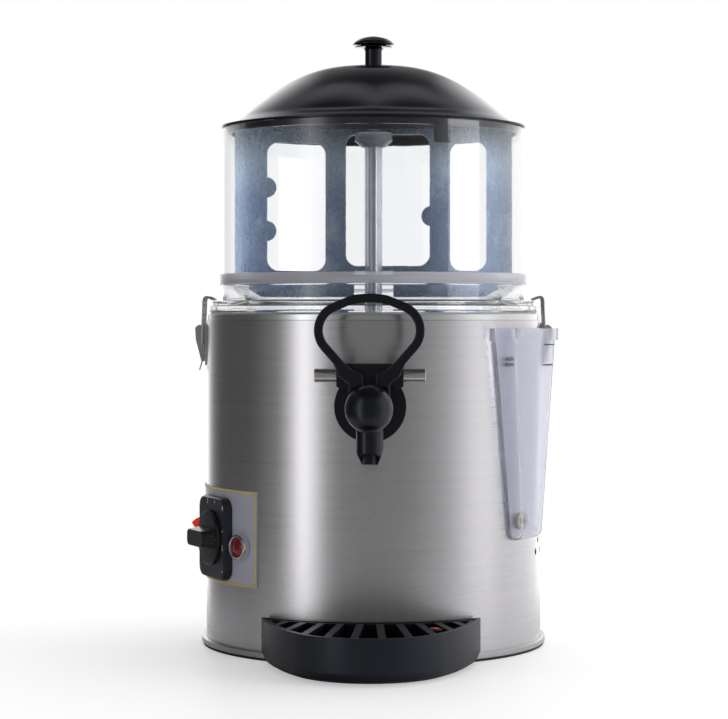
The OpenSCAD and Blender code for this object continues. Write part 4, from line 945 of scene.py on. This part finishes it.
class DISPENSER_OT_lid(bpy.types.Operator):
    """Turns the domed lid with its beaded rim, its skirt, the knob and the washer"""

    bl_idname = "dispenser.lid"
    bl_label = "Lid"

    def execute(self, context):
        dome = turned(LID_SKIRT + LID_OUTSIDE + LID_INSIDE, steps=192)
        tab = bar((0, 389.5), (13, 17.4), 2.2, on_body(TAB_ANGLE, TAB_RHO, 0))
        ease(tab, 0.5)
        finish_piece(join(dome, tab), "lid_dome", "lid", "lid_black",
                     stands_for=["lid_shell"], smooth=28)
        finish_piece(turned(LID_KNOB, steps=96, closed=False), "lid_knob_turned", "lid",
                     "lid_black", stands_for=["lid_knob"], smooth=40)
        finish_piece(turned(LID_WASHER, steps=96), "lid_washer_turned", "lid", "lid_black",
                     stands_for=["knob_washer"], smooth=40)
        return {"FINISHED"}


class DISPENSER_OT_tap(bpy.types.Operator):
    """Rounds over the tap's mouldings and its cross rod, and carries over its wound spring with
    smooth shading
    """

    bl_idname = "dispenser.tap"
    bl_label = "Tap"

    def execute(self, context):
        for node, width in (("tap_flange", 1.2), ("tap_body", 0.5), ("tap_cap", 0.8)):
            eased_node(node, "housing", "tap_black", width, 3)
        lever = copy_of("tap_lever")
        apply_modifier(lever, "REMESH", mode="VOXEL", voxel_size=0.8 * MM)
        apply_modifier(lever, "SMOOTH", factor=0.5, iterations=7)
        finish_piece(lever, "tap_lever_moulded", "tap_handle", "tap_black",
                     stands_for=["tap_lever"], smooth=60)
        eased_node("locking_rod", "rod", "rod_steel", 0.6, 3)
        spring = copy_of("piston_spring", flat=0.01)
        finish_piece(spring, "piston_spring_wound", "housing", "spring_steel",
                     stands_for=["piston_spring"], smooth=70)
        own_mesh(spring)
        return {"FINISHED"}


class DISPENSER_OT_catches(bpy.types.Operator):
    """Bends the wire bails and rounds the pressed levers of both side catches"""

    bl_idname = "dispenser.catches"
    bl_label = "Side catches"

    def execute(self, context):
        route = BAIL_HALF + [(-x, y, z) for x, y, z in reversed(BAIL_HALF)]
        for side, angle in CATCHES.items():
            bail = placed(wire(route, 1.0), Matrix.Rotation(radians(angle), 4, "Z"))
            finish_piece(bail, f"{side}_bail_bent", f"{side}_hook", "wire_steel",
                         stands_for=[f"{side}_bail"], smooth=60)
            eased_node(f"{side}_catch_lever", f"{side}_catch", "catch_steel", 0.3)
            eased_node(f"{side}_catch_base", "housing", "base_steel", 0.3)
        return {"FINISHED"}


class DISPENSER_OT_controls(bpy.types.Operator):
    """Dresses the panel: edge line, dial scale and pointer, lamp ring, rocker marks"""

    bl_idname = "dispenser.controls"
    bl_label = "Controls"

    def execute(self, context):
        eased_node("thermostat_bezel", "housing", "control_black", 0.8, 3)
        eased_node("switch_frame", "housing", "control_black", 0.6, 3)
        grip = copy_of("thermostat_knob")
        ease(grip, 1.0, 3, NODE_EDGE)
        disc = placed(turned(KNOB_DISC, steps=96), on_body(**DIAL))
        finish_piece(join(grip, disc), "thermostat_knob_eased", "dial", "knob_black",
                     ["thermostat_knob"], smooth=40)
        eased_node("switch_rocker", "rocker", "rocker_red", 0.6, 3)
        bezel = copy_of("lamp_bezel")
        ring = placed(turned(LAMP_RING, steps=96),
                      Matrix.Translation((0, 0, LAMP_HEIGHT * MM)) @ outward(LAMP_ANGLE))
        finish_piece(join(bezel, ring), "lamp_bezel_ringed", "housing", "lamp_chrome",
                     stands_for=["lamp_bezel"], smooth=35)
        finish_piece(wire(edge_route(), 0.7, 3, closed=True), "plate_edge_line", "housing",
                     "yellow_paint", smooth=40)
        finish_piece(join(*dial_marks()), "dial_numbers", "housing", "white_paint",
                     smooth=0)
        pointer = plate([(18.4, 0), (13.6, 2.2), (13.6, -2.2)], 0.1,
                        on_body(**{**DIAL, "rho": POINTER_RHO}))
        finish_piece(pointer, "dial_pointer", "dial", "white_paint", smooth=0)
        face = (on_body(**SWITCH) @ Matrix.Rotation(radians(ROCKER_TILT), 4, "X")
                @ Matrix.Translation((0, 0, ROCKER_FACE * MM)))
        on_mark = bar((0, 6.5), (1, 3.8), 0.15, face)
        off_mark = placed(turned(ROCKER_RING, steps=32),
                          face @ Matrix.Translation((0, -6.4 * MM, 0)))
        finish_piece(join(on_mark, off_mark), "rocker_marks", "rocker", "white_paint",
                     smooth=0)
        return {"FINISHED"}


EDGE_BEND, EDGE_STEP = 3, 6


def edge_route():
    """Points about EDGE_STEP mm apart, just inside the plate's edge and round its corners."""
    (right, left), (low, high) = PLATE_SIDES, PLATE_LEVELS
    corners = rounded([(right, low), (right, high), (left, high), (left, low)],
                      EDGE_BEND, steps=6)
    line = [round_point(angle, PLATE_RHO, height) for angle, height in corners]
    route = []
    for here, there in zip(line, line[1:] + line[:1]):
        steps = max(1, round((there - here).length / EDGE_STEP))
        for step in range(steps):
            point = here.lerp(there, step / steps)
            flat = point.xy.normalized() * PLATE_RHO
            route.append((flat.x, flat.y, point.z))
    return route


# The dial's marks: degrees from the right of the dial, and mm from its middle to the side
MARK_COUNT, FIRST_MARK, MARK_STEP, MARK_REACH = 10, 225, 30, 23.6
HOUSING_ASPECT = 0.86


def dial_marks():
    """The numbers 1 to 5 round the dial and a bar after each, along the square housing."""
    marks = []
    face = on_body(**{**DIAL, "rho": DIAL_MARKS_RHO})
    for index in range(MARK_COUNT):
        turn = radians(FIRST_MARK - MARK_STEP * index)
        reach = MARK_REACH / max(abs(cos(turn)), abs(sin(turn)) * HOUSING_ASPECT)
        spot = face @ Matrix.Translation((reach * cos(turn) * MM, reach * sin(turn) * MM, 0))
        if index % 2:
            marks.append(bar((0, 0), (2.2, 0.8), 0.05, spot @ Matrix.Rotation(turn, 4, "Z")))
        else:
            marks.append(printed(str(index // 2 + 1), 6.0, spot))
    return marks


class DISPENSER_OT_tank(bpy.types.Operator):
    """Rounds over the frosted water tank and its bars, and adds its level lines"""

    bl_idname = "dispenser.tank"
    bl_label = "Water tank"

    def execute(self, context):
        eased_node("water_tank", "housing", "tank_frosted", 0.5)
        eased_node("tank_clip", "housing", "control_black", 0.4)
        for name, (sideways, height) in LEVEL_LINES.items():
            line = bar((sideways, 0), (16, 1), 0.6, on_body(TANK_ANGLE, TANK_RHO, height))
            finish_piece(line, f"{name}_level_line", "housing", "dark_ink",
                         smooth=0)
        return {"FINISHED"}


class DISPENSER_OT_tray(bpy.types.Operator):
    """Rounds over the drip tray, its grille and the float"""

    bl_idname = "dispenser.tray"
    bl_label = "Drip tray"

    def execute(self, context):
        eased_node("drip_tray", "tray", "tray_black", 0.6, 3)
        eased_node("tray_grille", "grille", "grille_black", 0.6)
        eased_node("tray_float", "float", "float_red", 0.6, 3)
        return {"FINISHED"}


PIECES = [
    DISPENSER_OT_studio, DISPENSER_OT_finishes, DISPENSER_OT_body, DISPENSER_OT_jar,
    DISPENSER_OT_paddle, DISPENSER_OT_lid, DISPENSER_OT_tap, DISPENSER_OT_catches,
    DISPENSER_OT_controls, DISPENSER_OT_tank, DISPENSER_OT_tray,
]
SETTINGS = {"studio_settings": StudioSettings}


# ---------------------------------------------------------------- panel and start


class DISPENSER_PT_panel(bpy.types.Panel):
    """Lists the buttons for the machine's pieces and the studio's settings."""

    bl_label = "Drink dispenser"
    bl_idname = "DISPENSER_PT_panel"
    bl_space_type = "VIEW_3D"
    bl_region_type = "UI"
    bl_category = "Dispenser"

    def draw(self, context):
        for piece in PIECES:
            self.layout.operator(piece.bl_idname)
        for name in SETTINGS:
            settings = getattr(context.scene, name)
            for key in settings.bl_rna.properties.keys():
                if key not in ("rna_type", "name"):
                    self.layout.prop(settings, key)


def register():
    for group in SETTINGS.values():
        bpy.utils.register_class(group)
    for piece in PIECES:
        bpy.utils.register_class(piece)
    bpy.utils.register_class(DISPENSER_PT_panel)
    for name, group in SETTINGS.items():
        setattr(bpy.types.Scene, name, bpy.props.PointerProperty(type=group))


def unregister():
    for name in SETTINGS:
        delattr(bpy.types.Scene, name)
    bpy.utils.unregister_class(DISPENSER_PT_panel)
    for piece in reversed(PIECES):
        bpy.utils.unregister_class(piece)
    for group in SETTINGS.values():
        bpy.utils.unregister_class(group)


def main():
    register()
    for piece in PIECES:
        group, call = piece.bl_idname.split(".")
        getattr(getattr(bpy.ops, group), call)()


if __name__ == "__main__":
    main()
